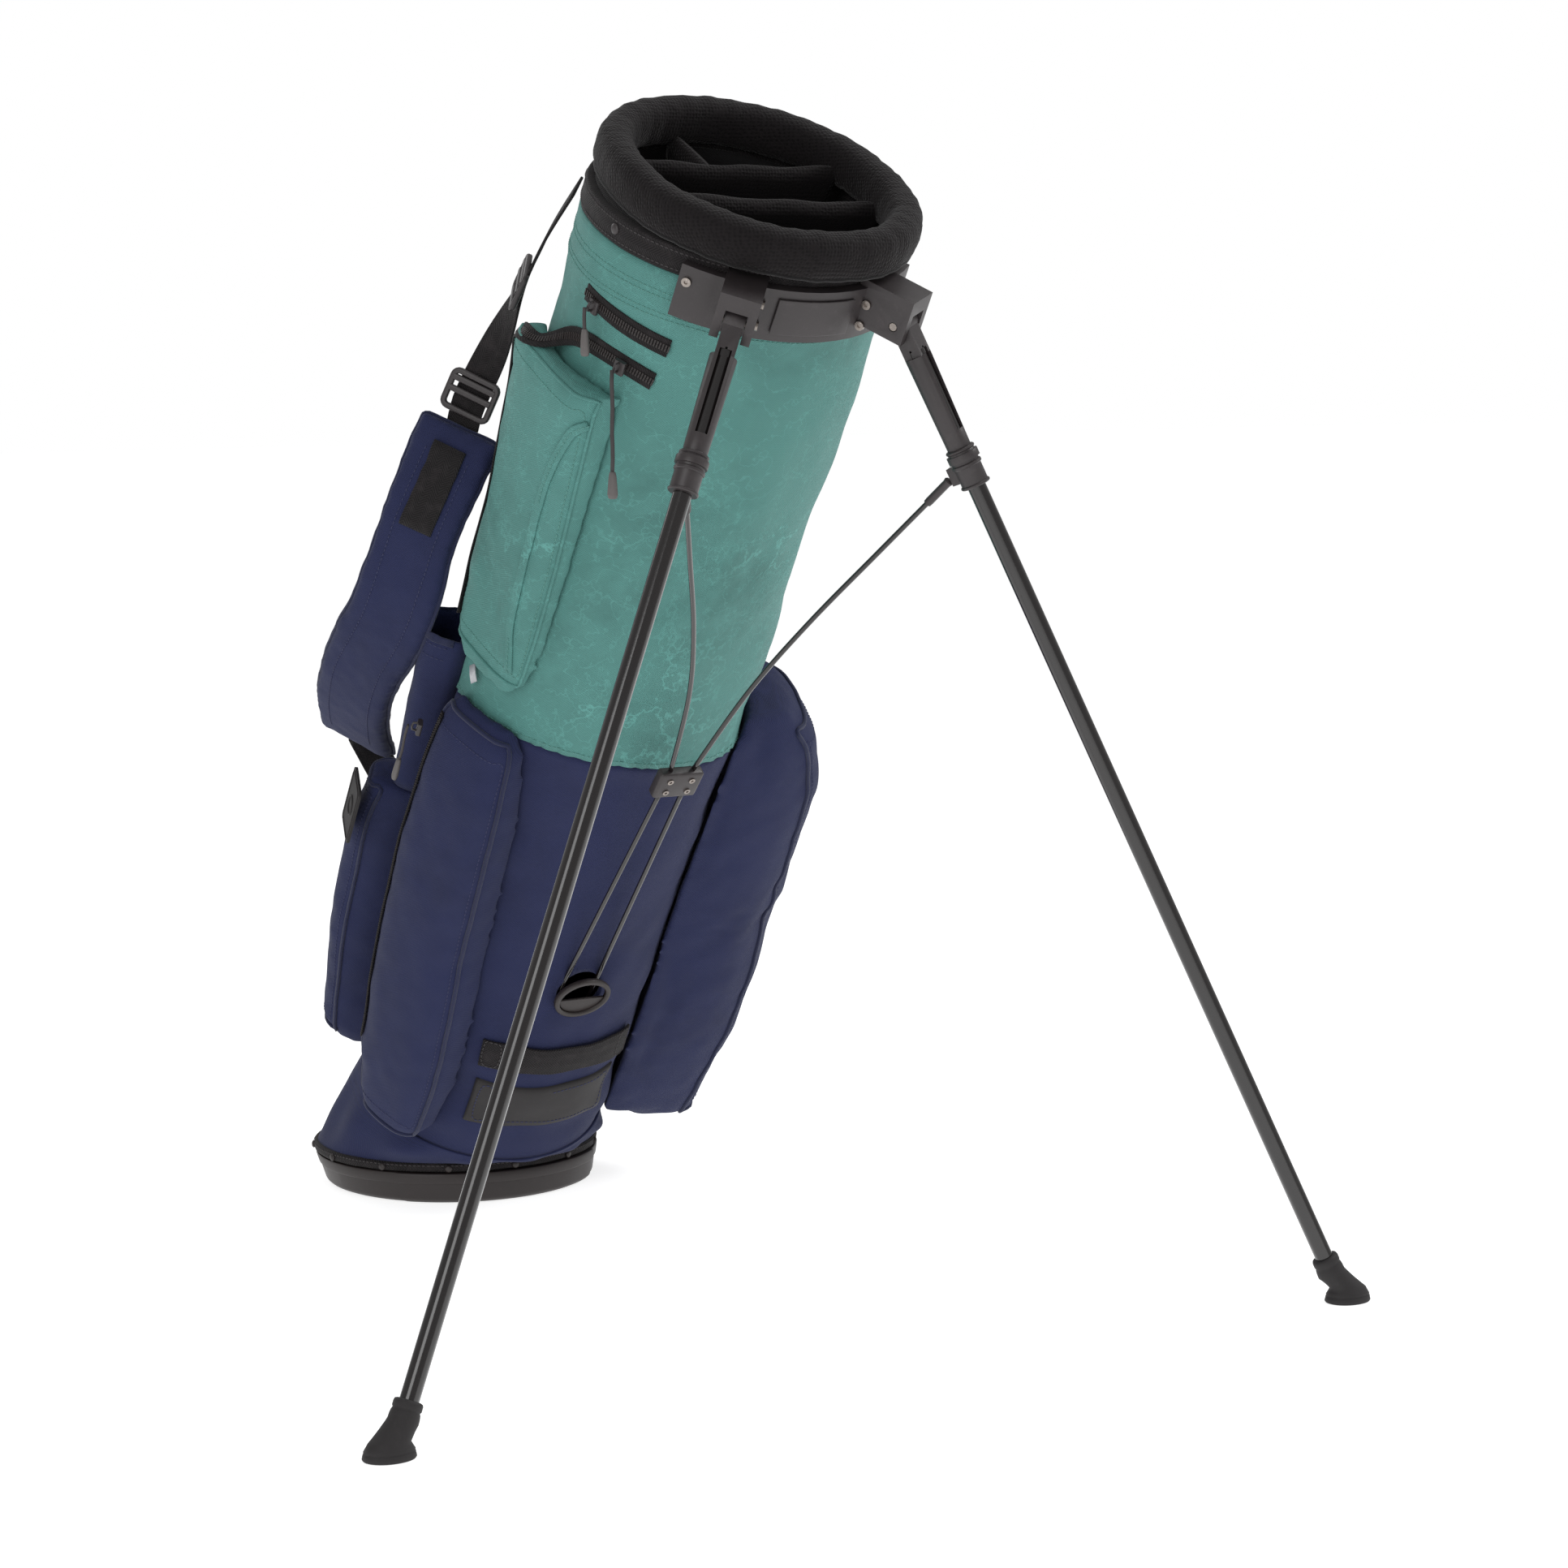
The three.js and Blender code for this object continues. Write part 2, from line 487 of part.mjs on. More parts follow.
// ---------- Shoulder straps ----------
function buildStraps() {
  // Each point: forward of the bag axis, out to the side, height.
  const routes = {
    webbing: [[-82, 84, 846], [-92, 90, 805], [-98, 94, 765], [-104, 102, 700], [-102, 112, 664]],
    pad: [[-88, 118, 650], [-68, 142, 590], [-62, 152, 510], [-88, 149, 440], [-114, 132, 385], [-138, 108, 340]],
    tail: [[-144, 98, 330], [-135, 78, 300], [-118, 56, 270], [-103, 42, 246]],
  };
  for (const [name, side] of Object.entries(SIDES)) {
    const route = (key) => routes[key].map(([a, b, h]) => vec(a, side * b, h));
    add(bag, `strap_webbing_${name}`, ribbon(route('webbing'), 25, 2, vec(0.7, side * 0.7, 0)), webbing());
    add(bag, `shoulder_pad_${name}`, ribbon(route('pad'), 64, 14, vec(0.75, side * -0.66, 0), 16), navyCanvas());
    add(bag, `strap_tail_${name}`, ribbon(route('tail'), 25, 2, vec(0.2, side, 0), 8), webbing());
  }
}

// ---------- Zip sliders with their pulls, and the patch ----------
function buildZips() {
  // Forward of the bag axis, to the side, height, the way it faces, length of the pull, the pull's lean.
  const zips = {
    side: [54, -100, 790, -62, 66, LEAN],
    apparel: [-5, -141, 452, -112, 30, 0],
    neck: [19, -110, 815, -78, 14, LEAN],
  };
  const reach = 7;
  for (const [name, [a, b, h, facing, length, lean]] of Object.entries(zips)) {
    const place = (geometry, out) => geometry
      .translate(out * Math.cos(facing * DEG) + a, out * Math.sin(facing * DEG) + b, h);
    add(bag, `${name}_zip_slider`, place(box(7, 9, 5, 0, 0, 0).rotateZ(facing * DEG), 0), darkPlastic());
    const pull = join(box(2.4, 2.4, length + 2, 0, 0, -length / 2), box(5, 8, 18, 0, 0, -length - 9));
    add(bag, `${name}_zip_pull`, place(pull.rotateZ(facing * DEG).rotateY(-lean), reach), darkPlastic());
  }
  const patch = box(36, 2.4, 48, 0, 0, 0).rotateZ(-16 * DEG).translate(-51, -149, 345);
  add(bag, 'patch', patch, rubber());
}

// ---------- Whole bag ----------
buildBase();
buildCollar();
buildBody();
buildMouth();
buildBracket();
buildLegs();
buildRods();
buildFront();
buildPockets();
buildStraps();
buildZips();

export default standBag;
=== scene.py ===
"""Golf stand bag: two-tone canvas bag leaning on its open stand.

Lengths in this file are millimetres. Most pieces are laid out along the bag's own axes: a point (a, b, h) is
a forward of the bag axis, b to the bag's right-hand side and h up the axis from the middle of the sole.
"""
from __future__ import annotations

import logging
import math
from contextlib import contextmanager
from dataclasses import dataclass
from enum import Enum
from typing import Callable, Iterable, Iterator, Sequence

import bmesh
import bpy
from mathutils import Matrix, Vector, noise
from mathutils.bvhtree import BVHTree


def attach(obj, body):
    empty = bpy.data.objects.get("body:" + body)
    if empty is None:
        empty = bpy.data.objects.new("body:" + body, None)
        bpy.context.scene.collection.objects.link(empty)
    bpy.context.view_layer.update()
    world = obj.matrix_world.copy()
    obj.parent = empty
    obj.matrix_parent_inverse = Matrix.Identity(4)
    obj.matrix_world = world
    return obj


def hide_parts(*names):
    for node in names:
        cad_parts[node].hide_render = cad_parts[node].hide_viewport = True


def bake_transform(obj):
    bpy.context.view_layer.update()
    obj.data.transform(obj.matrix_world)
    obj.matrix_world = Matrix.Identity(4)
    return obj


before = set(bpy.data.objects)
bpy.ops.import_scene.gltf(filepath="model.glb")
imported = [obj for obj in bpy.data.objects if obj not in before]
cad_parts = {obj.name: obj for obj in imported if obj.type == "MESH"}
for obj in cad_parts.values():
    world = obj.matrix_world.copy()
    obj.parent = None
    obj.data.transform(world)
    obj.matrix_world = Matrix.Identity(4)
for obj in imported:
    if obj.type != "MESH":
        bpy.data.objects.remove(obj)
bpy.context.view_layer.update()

LOG = logging.getLogger("stand_bag")
MM = 0.001
LEAN = math.radians(32.0)
TO_FLOOR = Matrix.Rotation(LEAN, 4, "Y")
SIDES = {"left": -1, "right": 1}
Colour = tuple[float, float, float]

BODY_TOP = 860.0
BODY_BOTTOM = 92.0
COLOUR_SEAM = 465.0
RIM_SLOPE = 0.1
PORT_HEIGHT = 262.0
PORT_TURN = math.radians(97.0)
# Height up the bag, front of the body, back of the body, half its width.
BODY_STATIONS = (
    (0, 80, -96, 94), (92, 82, -96, 94), (184, 88, -94, 97), (236, 86, -93, 100), (288, 80, -92, 103),
    (465, 84, -92, 109), (620, 90, -94, 106), (760, 96, -102, 108), (860, 98, -108, 108),
    (980, 98, -108, 108),
)
HINGE = Vector((114.0, 63.0, 863.0))
LEG_OPEN = math.radians(46.2)
LEG_SWING = math.radians(33.6)


# ---------- Places ----------
def bag_point(a: float, b: float, h: float) -> Vector:
    """Returns a point of the bag's axes in the shared frame, in metres."""
    return TO_FLOOR @ Vector((a, b, h)) * MM


def floor_point(x: float, y: float, z: float) -> Vector:
    """Returns a point of the shared frame in metres."""
    return Vector((x, y, z)) * MM


def blend_value(low: float, high: float, t: float) -> float:
    """Returns the value a share t of the way from low to high."""
    return low + (high - low) * t


def ease(t: float) -> float:
    """Returns t eased in and out, held between 0 and 1."""
    t = min(1.0, max(0.0, t))
    return t * t * (3.0 - 2.0 * t)


def turns(count: int) -> list[float]:
    """Returns evenly spaced angles round a full turn, in radians."""
    return [2 * math.pi * i / count for i in range(count)]


def section(height: float) -> tuple[float, float, float]:
    """Gives the body's outline at a height.

    Args:
        height: distance up the bag axis.

    Returns:
        The outline's centre, half depth and half width.
    """
    for low, high in zip(BODY_STATIONS, BODY_STATIONS[1:]):
        if height <= high[0]:
            break
    t = (height - low[0]) / (high[0] - low[0])
    front, back, half_width = (blend_value(low[k], high[k], t) for k in (1, 2, 3))
    return (front + back) / 2, (front - back) / 2, half_width


def skin(angle: float, height: float, out: float = 0.0) -> Vector:
    """Gives a point on the body.

    Args:
        angle: degrees from the front, positive to the right-hand side.
        height: distance up the bag axis.
        out: distance the point stands off the body.

    Returns:
        The point in the bag's axes.
    """
    shift, half_depth, half_width = section(height)
    turn = math.radians(angle)
    return Vector((shift + (half_depth + out) * math.cos(turn), (half_width + out) * math.sin(turn), height))


def rim_point(point: Vector) -> Vector:
    """Returns a point in the bag's axes, raised with the rim's slope, in the shared frame."""
    return bag_point(point.x, point.y, point.z + RIM_SLOPE * point.x)


def placed(axes: Matrix, x: float, y: float, z: float) -> Vector:
    """Returns a point of the given axes in the shared frame, in metres."""
    return (axes @ Vector((x, y, z))) * MM


def direction(axes: Matrix, x: float, y: float, z: float) -> Vector:
    """Returns a direction of the given axes in the shared frame."""
    return (axes.to_3x3() @ Vector((x, y, z))).normalized()


def leg_axes(side: int) -> Matrix:
    """Returns the matrix from an open leg's axes (-Z down the leg) to the shared frame, in millimetres."""
    place = Matrix.Translation((HINGE.x, side * HINGE.y, HINGE.z))
    return TO_FLOOR @ place @ Matrix.Rotation(side * LEG_SWING, 4, "Z") @ Matrix.Rotation(-LEG_OPEN, 4, "Y")


def ripple(point: Vector, size: float, seed: float = 0.0) -> float:
    """Returns smooth noise from about -1 to 1 at a point in millimetres, with lumps of the given size."""
    return noise.noise(Vector((point.x / size + seed, point.y / size - seed, point.z / size + 2.0 * seed)))


# ---------- Node trees ----------
class Graph:
    """Adds and joins nodes in a tree."""

    def __init__(self, tree: bpy.types.NodeTree) -> None:
        """Starts with an empty tree."""
        self.tree = tree
        tree.nodes.clear()

    def add(self, kind: str, inputs: dict | None = None, **settings: object) -> bpy.types.Node:
        """Adds a node.

        Args:
            kind: the node's type name.
            inputs: socket name or index to a value, or to a socket that is linked to it.
            settings: the node's own properties.

        Returns:
            The new node.
        """
        node = self.tree.nodes.new(kind)
        for key, value in settings.items():
            setattr(node, key, value)
        for key, value in (inputs or {}).items():
            if isinstance(value, bpy.types.NodeSocket):
                self.tree.links.new(value, node.inputs[key])
            else:
                node.inputs[key].default_value = value
        return node

    def feed(self, node: bpy.types.Node, name: str, socket: bpy.types.NodeSocket) -> None:
        """Links a socket to a node's input."""
        self.tree.links.new(socket, node.inputs[name])

    def math(self, operation: str, *values: object) -> bpy.types.NodeSocket:
        """Returns the result of a Math node on the given values."""
        node = self.add("ShaderNodeMath", dict(enumerate(values)), operation=operation)
        return node.outputs[0]

    def noise(self, place: bpy.types.NodeSocket, scale: float, detail: float = 3.0,
              rough: float = 0.5) -> bpy.types.NodeSocket:
        """Returns the value of a Noise Texture at a place."""
        node = self.add("ShaderNodeTexNoise",
                        {"Vector": place, "Scale": scale, "Detail": detail, "Roughness": rough})
        return node.outputs["Fac"]

    def band(self, value: bpy.types.NodeSocket, low: float, high: float) -> bpy.types.NodeSocket:
        """Returns a value stretched so that low becomes 0 and high becomes 1, and held there."""
        node = self.add("ShaderNodeMapRange", {"Value": value, "From Min": low, "From Max": high})
        return node.outputs["Result"]

    def mix(self, share: object, first: object, second: object) -> bpy.types.NodeSocket:
        """Returns two colours mixed by a share."""
        node = self.add("ShaderNodeMix", {"Factor": share}, data_type="RGBA")
        for socket, value in ((node.inputs[6], first), (node.inputs[7], second)):
            if isinstance(value, bpy.types.NodeSocket):
                self.tree.links.new(value, socket)
            else:
                socket.default_value = (*value, 1.0)
        return node.outputs[2]


def bright(colour: Colour, gain: float) -> Colour:
    """Returns a colour made lighter or darker by a gain."""
    return tuple(min(1.0, c * gain) for c in colour)


def tune(shader: bpy.types.Node, **values: object) -> None:
    """Sets a shader's inputs, each named in lower case with underscores."""
    for socket in shader.inputs:
        key = socket.name.lower().replace(" ", "_")
        if key in values:
            socket.default_value = values[key]


class Layout(Enum):
    """Where a cloth's threads run."""

    PIECE_UV = "along the piece's own map"
    LEFT_FRONT = "up the bag, and round its left front"
    RIGHT_FRONT = "up the bag, and round its right front"


@dataclass(frozen=True)
class Finish:
    """What every finish has: a name, a colour and how rough it is."""

    name: str
    colour: Colour
    rough: float

    def material(self) -> bpy.types.Material:
        """Returns this finish's material, made when it is first asked for."""
        found = bpy.data.materials.get(self.name)
        if found:
            return found
        material = bpy.data.materials.new(self.name)
        material.use_nodes = True
        graph = Graph(material.node_tree)
        shader = graph.add("ShaderNodeBsdfPrincipled",
                           {"Base Color": (*self.colour, 1.0), "Roughness": self.rough})
        graph.add("ShaderNodeOutputMaterial", {0: shader.outputs[0]})
        place = graph.add("ShaderNodeTexCoord").outputs["Object"]
        self.fill(graph, shader, place)
        return material

    def fill(self, graph: Graph, shader: bpy.types.Node, place: bpy.types.NodeSocket) -> None:
        """Adds the finish's own nodes; place is the piece's place in metres."""

    def bump(self, graph: Graph, shader: bpy.types.Node, height: bpy.types.NodeSocket, depth: float) -> None:
        """Raises the surface by a height from 0 to 1 times a depth in metres."""
        node = graph.add("ShaderNodeBump", {"Height": height, "Distance": depth, "Strength": 1.0})
        graph.feed(shader, "Normal", node.outputs[0])


@dataclass(frozen=True)
class Canvas(Finish):
    """Woven canvas, with mottling, creases and faint threads."""

    layout: Layout = Layout.PIECE_UV
    pitch: float = 0.0013
    mottle: float = 0.22
    crease: float = 0.0
    sheen: float = 0.15
    depth: float = 0.00022

    def fill(self, graph: Graph, shader: bpy.types.Node, place: bpy.types.NodeSocket) -> None:
        """Adds threads, cloudy colour and light crease lines."""
        tune(shader, sheen_weight=self.sheen, sheen_roughness=0.5, specular_ior_level=0.25)
        warp, weft = self.threads(graph, place)
        cloud = graph.noise(place, 9.0, 4.0)
        patch = graph.noise(place, 55.0, 3.0)
        fibre = graph.noise(place, 900.0, 2.0)
        colour = graph.mix(graph.band(cloud, 0.35, 0.7), bright(self.colour, 1.0 - self.mottle),
                           bright(self.colour, 1.0 + self.mottle))
        colour = graph.mix(graph.band(patch, 0.3, 0.8), colour, bright(self.colour, 1.0 + 0.8 * self.mottle))
        weave = graph.math("MULTIPLY", warp, weft)
        colour = graph.mix(graph.band(weave, 0.2, -1.0), colour, bright(self.colour, 0.55))
        if self.crease:
            line = graph.math("ABSOLUTE", graph.math("SUBTRACT", graph.noise(place, 13.0, 5.0, 0.62), 0.5))
            fade = graph.band(graph.noise(place, 7.0, 2.0), 0.45, 0.62)
            mark = graph.math("MULTIPLY", graph.band(line, 0.012, 0.0), fade)
            short = graph.math("ABSOLUTE", graph.math("SUBTRACT", graph.noise(place, 38.0, 3.0, 0.6), 0.5))
            marks = graph.math("MAXIMUM", mark, graph.math("MULTIPLY", graph.band(short, 0.012, 0.0), 0.45))
            share = graph.math("MULTIPLY", marks, self.crease)
            colour = graph.mix(share, colour, bright(self.colour, 2.1))
        graph.feed(shader, "Base Color", colour)
        grain = graph.math("ADD", graph.math("MULTIPLY", weave, 0.5), graph.math("MULTIPLY", fibre, 0.8))
        self.bump(graph, shader, grain, self.depth)

    def threads(self, graph: Graph,
                place: bpy.types.NodeSocket) -> tuple[bpy.types.NodeSocket, bpy.types.NodeSocket]:
        """Returns the two thread waves, each from -1 to 1."""
        if self.layout is Layout.PIECE_UV:
            source = graph.add("ShaderNodeUVMap", uv_map="Cloth").outputs[0]
            split = graph.add("ShaderNodeSeparateXYZ", {0: source})
            across, along = split.outputs[0], split.outputs[1]
        else:
            turned = graph.add("ShaderNodeMapping", {"Vector": place, "Rotation": (0.0, -LEAN, 0.0)})
            split = graph.add("ShaderNodeSeparateXYZ", {0: turned.outputs[0]})
            kind = "ADD" if self.layout is Layout.LEFT_FRONT else "SUBTRACT"
            across = graph.math("MULTIPLY", graph.math(kind, split.outputs[0], split.outputs[1]), 0.8)
            along = split.outputs[2]
        turn = 2.0 * math.pi / self.pitch
        return tuple(graph.math("SINE", graph.math("MULTIPLY", value, turn)) for value in (across, along))


@dataclass(frozen=True)
class SpacerMesh(Finish):
    """Soft knitted mesh with small open cells."""

    cell: float = 0.0024

    def fill(self, graph: Graph, shader: bpy.types.Node, place: bpy.types.NodeSocket) -> None:
        """Adds the cells and a soft sheen."""
        tune(shader, sheen_weight=0.08, sheen_roughness=0.4, specular_ior_level=0.2)
        cells = graph.add("ShaderNodeTexVoronoi",
                          {"Vector": place, "Scale": 1.0 / self.cell, "Randomness": 0.35})
        ridge = graph.band(cells.outputs["Distance"], 0.1, 0.6)
        cloud = graph.noise(place, 40.0, 3.0)
        colour = graph.mix(ridge, bright(self.colour, 0.35), bright(self.colour, 1.5))
        colour = graph.mix(graph.math("MULTIPLY", cloud, 0.5), colour, bright(self.colour, 2.0))
        graph.feed(shader, "Base Color", colour)
        self.bump(graph, shader, ridge, 0.0005)


@dataclass(frozen=True)
class Webbing(Finish):
    """Woven strap with a herringbone of threads."""

    pitch: float = 0.0021

    def fill(self, graph: Graph, shader: bpy.types.Node, place: bpy.types.NodeSocket) -> None:
        """Adds slanted ribs along the piece's map."""
        tune(shader, sheen_weight=0.05, specular_ior_level=0.25)
        source = graph.add("ShaderNodeUVMap", uv_map="Cloth").outputs[0]
        split = graph.add("ShaderNodeSeparateXYZ", {0: source})
        fold = graph.math("PINGPONG", split.outputs[0], 0.005)
        slant = graph.math("ADD", fold, split.outputs[1])
        rib = graph.math("SINE", graph.math("MULTIPLY", slant, 2.0 * math.pi / self.pitch))
        shade = graph.band(rib, -1.0, 1.0)
        wear = graph.noise(place, 120.0, 3.0)
        colour = graph.mix(shade, bright(self.colour, 0.5), bright(self.colour, 1.7))
        colour = graph.mix(graph.band(wear, 0.5, 0.9), colour, bright(self.colour, 3.0))
        graph.feed(shader, "Base Color", colour)
        self.bump(graph, shader, shade, 0.0003)


@dataclass(frozen=True)
class Moulded(Finish):
    """Moulded plastic or rubber, with a spark-eroded grain and faint scuffs."""

    grain: float = 0.00006
    scuff: float = 0.25

    def fill(self, graph: Graph, shader: bpy.types.Node, place: bpy.types.NodeSocket) -> None:
        """Adds grain to the surface, and cloudy wear to colour and gloss."""
        pores = graph.noise(place, 1400.0, 2.0)
        cloud = graph.noise(place, 45.0, 4.0)
        rub = graph.band(graph.noise(place, 160.0, 5.0, 0.65), 0.56, 0.75)
        colour = graph.mix(cloud, bright(self.colour, 0.82), bright(self.colour, 1.25))
        colour = graph.mix(graph.math("MULTIPLY", rub, self.scuff), colour, bright(self.colour, 2.4))
        graph.feed(shader, "Base Color", colour)
        spread = graph.math("ADD", graph.math("MULTIPLY", cloud, 0.16), self.rough - 0.08)
        graph.feed(shader, "Roughness", spread)
        self.bump(graph, shader, pores, self.grain)


@dataclass(frozen=True)
class GlossTube(Finish):
    """Dark coated metal tube with a clear gloss and slight waves."""

    metallic: float = 0.0
    coat: float = 0.6

    def fill(self, graph: Graph, shader: bpy.types.Node, place: bpy.types.NodeSocket) -> None:
        """Adds the coat, a faint orange-peel and specks."""
        tune(shader, metallic=self.metallic, coat_weight=self.coat, coat_roughness=0.12)
        peel = graph.noise(place, 260.0, 2.0)
        speck = graph.band(graph.noise(place, 700.0, 1.0), 0.6, 0.8)
        colour = graph.mix(speck, self.colour, bright(self.colour, 1.8))
        graph.feed(shader, "Base Color", colour)
        haze = graph.math("MULTIPLY", graph.noise(place, 30.0, 3.0), 0.12)
        spread = graph.math("ADD", haze, self.rough - 0.06)
        graph.feed(shader, "Roughness", spread)
        self.bump(graph, shader, peel, 0.00004)


def from_screen(red: int, green: int, blue: int) -> Colour:
    """Returns a colour given in screen values as the linear values that a shader takes."""
    def linear(value: int) -> float:
        share = value / 255.0
        return share / 12.92 if share <= 0.04045 else ((share + 0.055) / 1.055) ** 2.4
    return linear(red), linear(green), linear(blue)


TEAL = from_screen(84, 138, 132)
NAVY = from_screen(36, 42, 78)
WAXED = Canvas("waxed canvas", TEAL, 0.62, mottle=0.2, crease=0.4, sheen=0.04)
WAXED_LEFT = Canvas("waxed canvas side", TEAL, 0.62, Layout.LEFT_FRONT, mottle=0.2, crease=0.4, sheen=0.04)
NAVY_MAPPED = Canvas("navy canvas", NAVY, 0.8, mottle=0.14, crease=0.0, sheen=0.05)
NAVY_LEFT = Canvas("navy canvas left", NAVY, 0.8, Layout.LEFT_FRONT, mottle=0.14, sheen=0.05)
NAVY_RIGHT = Canvas("navy canvas right", NAVY, 0.8, Layout.RIGHT_FRONT, mottle=0.14, sheen=0.05)
PIPING = Canvas("piping", bright(NAVY, 0.8), 0.7, Layout.LEFT_FRONT, pitch=0.0009, mottle=0.1)
MESH = SpacerMesh("black spacer mesh", from_screen(17, 14, 15), 0.85)
LINING = Canvas("black lining", from_screen(20, 18, 19), 0.8, Layout.LEFT_FRONT, mottle=0.15)
STRAP = Webbing("black webbing", from_screen(24, 21, 22), 0.75)
SATIN = Moulded("satin grey plastic", from_screen(50, 45, 46), 0.42)
DARK = Moulded("brown black plastic", from_screen(36, 29, 28), 0.48)
BLACK_RUBBER = Moulded("black rubber", from_screen(32, 29, 30), 0.7, grain=0.0001)
TUBE = GlossTube("gloss black tube", from_screen(22, 18, 18), 0.16)
STEEL = GlossTube("plain steel", from_screen(150, 142, 136), 0.32, metallic=1.0, coat=0.0)
GREY_TIP = Moulded("grey soft plastic", from_screen(92, 88, 87), 0.6)
TEAL_THREAD = Moulded("teal thread", from_screen(82, 132, 124), 0.7, grain=0.00002)
NAVY_THREAD = Moulded("navy thread", from_screen(40, 44, 78), 0.7, grain=0.00002)
BLACK_THREAD = Moulded("black thread", from_screen(58, 54, 55), 0.7, grain=0.00002)
REFLECTIVE = Moulded("grey reflective tape", from_screen(176, 178, 182), 0.4, grain=0.00002)


# ---------- Meshes ----------
def new_object(name: str, data: bpy.types.ID) -> bpy.types.Object:
    """Returns a new object that holds a mesh, a light or a camera, linked to the scene."""
    piece = bpy.data.objects.new(name, data)
    bpy.context.scene.collection.objects.link(piece)
    return piece


@contextmanager
def editing(mesh: bpy.types.Mesh) -> Iterator[bmesh.types.BMesh]:
    """Opens a mesh for changes to its faces, and puts them in it at the end."""
    shape = bmesh.new()
    shape.from_mesh(mesh)
    yield shape
    shape.to_mesh(mesh)
    shape.free()


def build(name: str, points: Sequence[Vector], faces: Sequence[Sequence[int]],
          corners: Sequence[Sequence[tuple[float, float]]] | None = None) -> bpy.types.Object:
    """Makes a mesh object with outward faces.

    Args:
        name: the piece's name.
        points: the vertices in metres, in the shared frame.
        faces: vertex numbers of each face.
        corners: each face's map values in metres, one for each corner.

    Returns:
        The new object.
    """
    mesh = bpy.data.meshes.new(name)
    mesh.from_pydata([tuple(p) for p in points], [], faces)
    if corners:
        layer = mesh.uv_layers.new(name="Cloth")
        layer.data.foreach_set("uv", [value for face in corners for corner in face for value in corner])
    with editing(mesh) as shape:
        bmesh.ops.recalc_face_normals(shape, faces=shape.faces)
    mesh.shade_smooth()
    return new_object(name, mesh)


def lengths(points: Sequence[Vector], closed: bool) -> list[float]:
    """Returns the distance along a row of points to each, and round to the first again if it is closed."""
    row = list(points) + ([points[0]] if closed else [])
    total = [0.0]
    for here, there in zip(row, row[1:]):
        total.append(total[-1] + (there - here).length)
    return total


def loft(name: str, rings: Sequence[Sequence[Vector]], cyclic: bool = False) -> bpy.types.Object:
    """Skins closed rings of points, with a cap at each end unless the rings go round too.

    Args:
        name: the piece's name.
        rings: rings of the same number of points, in metres, in the shared frame.
        cyclic: whether the last ring joins the first.

    Returns:
        The new object, with its map in metres round and along it.
    """
    count = len(rings[0])
    points = [p for ring in rings for p in ring]
    round_way = lengths(rings[len(rings) // 2], True)
    along_way = lengths([ring[0] for ring in rings], cyclic)
    faces, corners = [], []
    for i in range(len(rings) if cyclic else len(rings) - 1):
        low, high = i * count, ((i + 1) % len(rings)) * count
        for j in range(count):
            k = (j + 1) % count
            faces.append((low + j, low + k, high + k, high + j))
            square = ((j, i), (j + 1, i), (j + 1, i + 1), (j, i + 1))
            corners.append(tuple((round_way[u], along_way[v]) for u, v in square))
    if not cyclic:
        for ring_index in (0, len(rings) - 1):
            start, middle = ring_index * count, len(points)
            points.append(sum(rings[ring_index], Vector()) / count)
            for j in range(count):
                face = (start + j, start + (j + 1) % count, middle)
                faces.append(face)
                corners.append(tuple((points[v].y, points[v].z) for v in face))
    return build(name, points, faces, corners)


def sweep(name: str, path: Sequence[Vector], facing: Sequence[Vector], outline: Sequence[tuple[float, float]],
          closed: bool = False) -> bpy.types.Object:
    """Carries an outline along a path.

    Args:
        name: the piece's name.
        path: points in metres, in the shared frame.
        facing: the direction that the outline's second axis takes at each point.
        outline: (across, out) pairs in millimetres.
        closed: whether the path is a loop.

    Returns:
        The new object.
    """
    rings = []
    count = len(path)
    for i, (point, face) in enumerate(zip(path, facing)):
        ahead = path[(i + 1) % count] if closed or i + 1 < count else point
        behind = path[i - 1] if closed or i else point
        tangent = (ahead - behind).normalized()
        out = (face - tangent * face.dot(tangent)).normalized()
        across = tangent.cross(out)
        rings.append([point + across * (u * MM) + out * (v * MM) for u, v in outline])
    return loft(name, rings, closed)


def round_outline(radius: float, sides: int = 10) -> list[tuple[float, float]]:
    """Returns a round outline."""
    return [(radius * math.cos(t), radius * math.sin(t)) for t in turns(sides)]


def flat_outline(width: float, thickness: float, corner: float,
                 steps: int = 4) -> list[tuple[float, float]]:
    """Returns a flat outline with rounded corners."""
    outline = []
    for quarter, (sx, sy) in enumerate(((1, -1), (1, 1), (-1, 1), (-1, -1))):
        for i in range(steps):
            turn = math.pi / 2 * (quarter - 1 + i / (steps - 1))
            outline.append((sx * (width / 2 - corner) + corner * math.cos(turn),
                            sy * (thickness / 2 - corner) + corner * math.sin(turn)))
    return outline


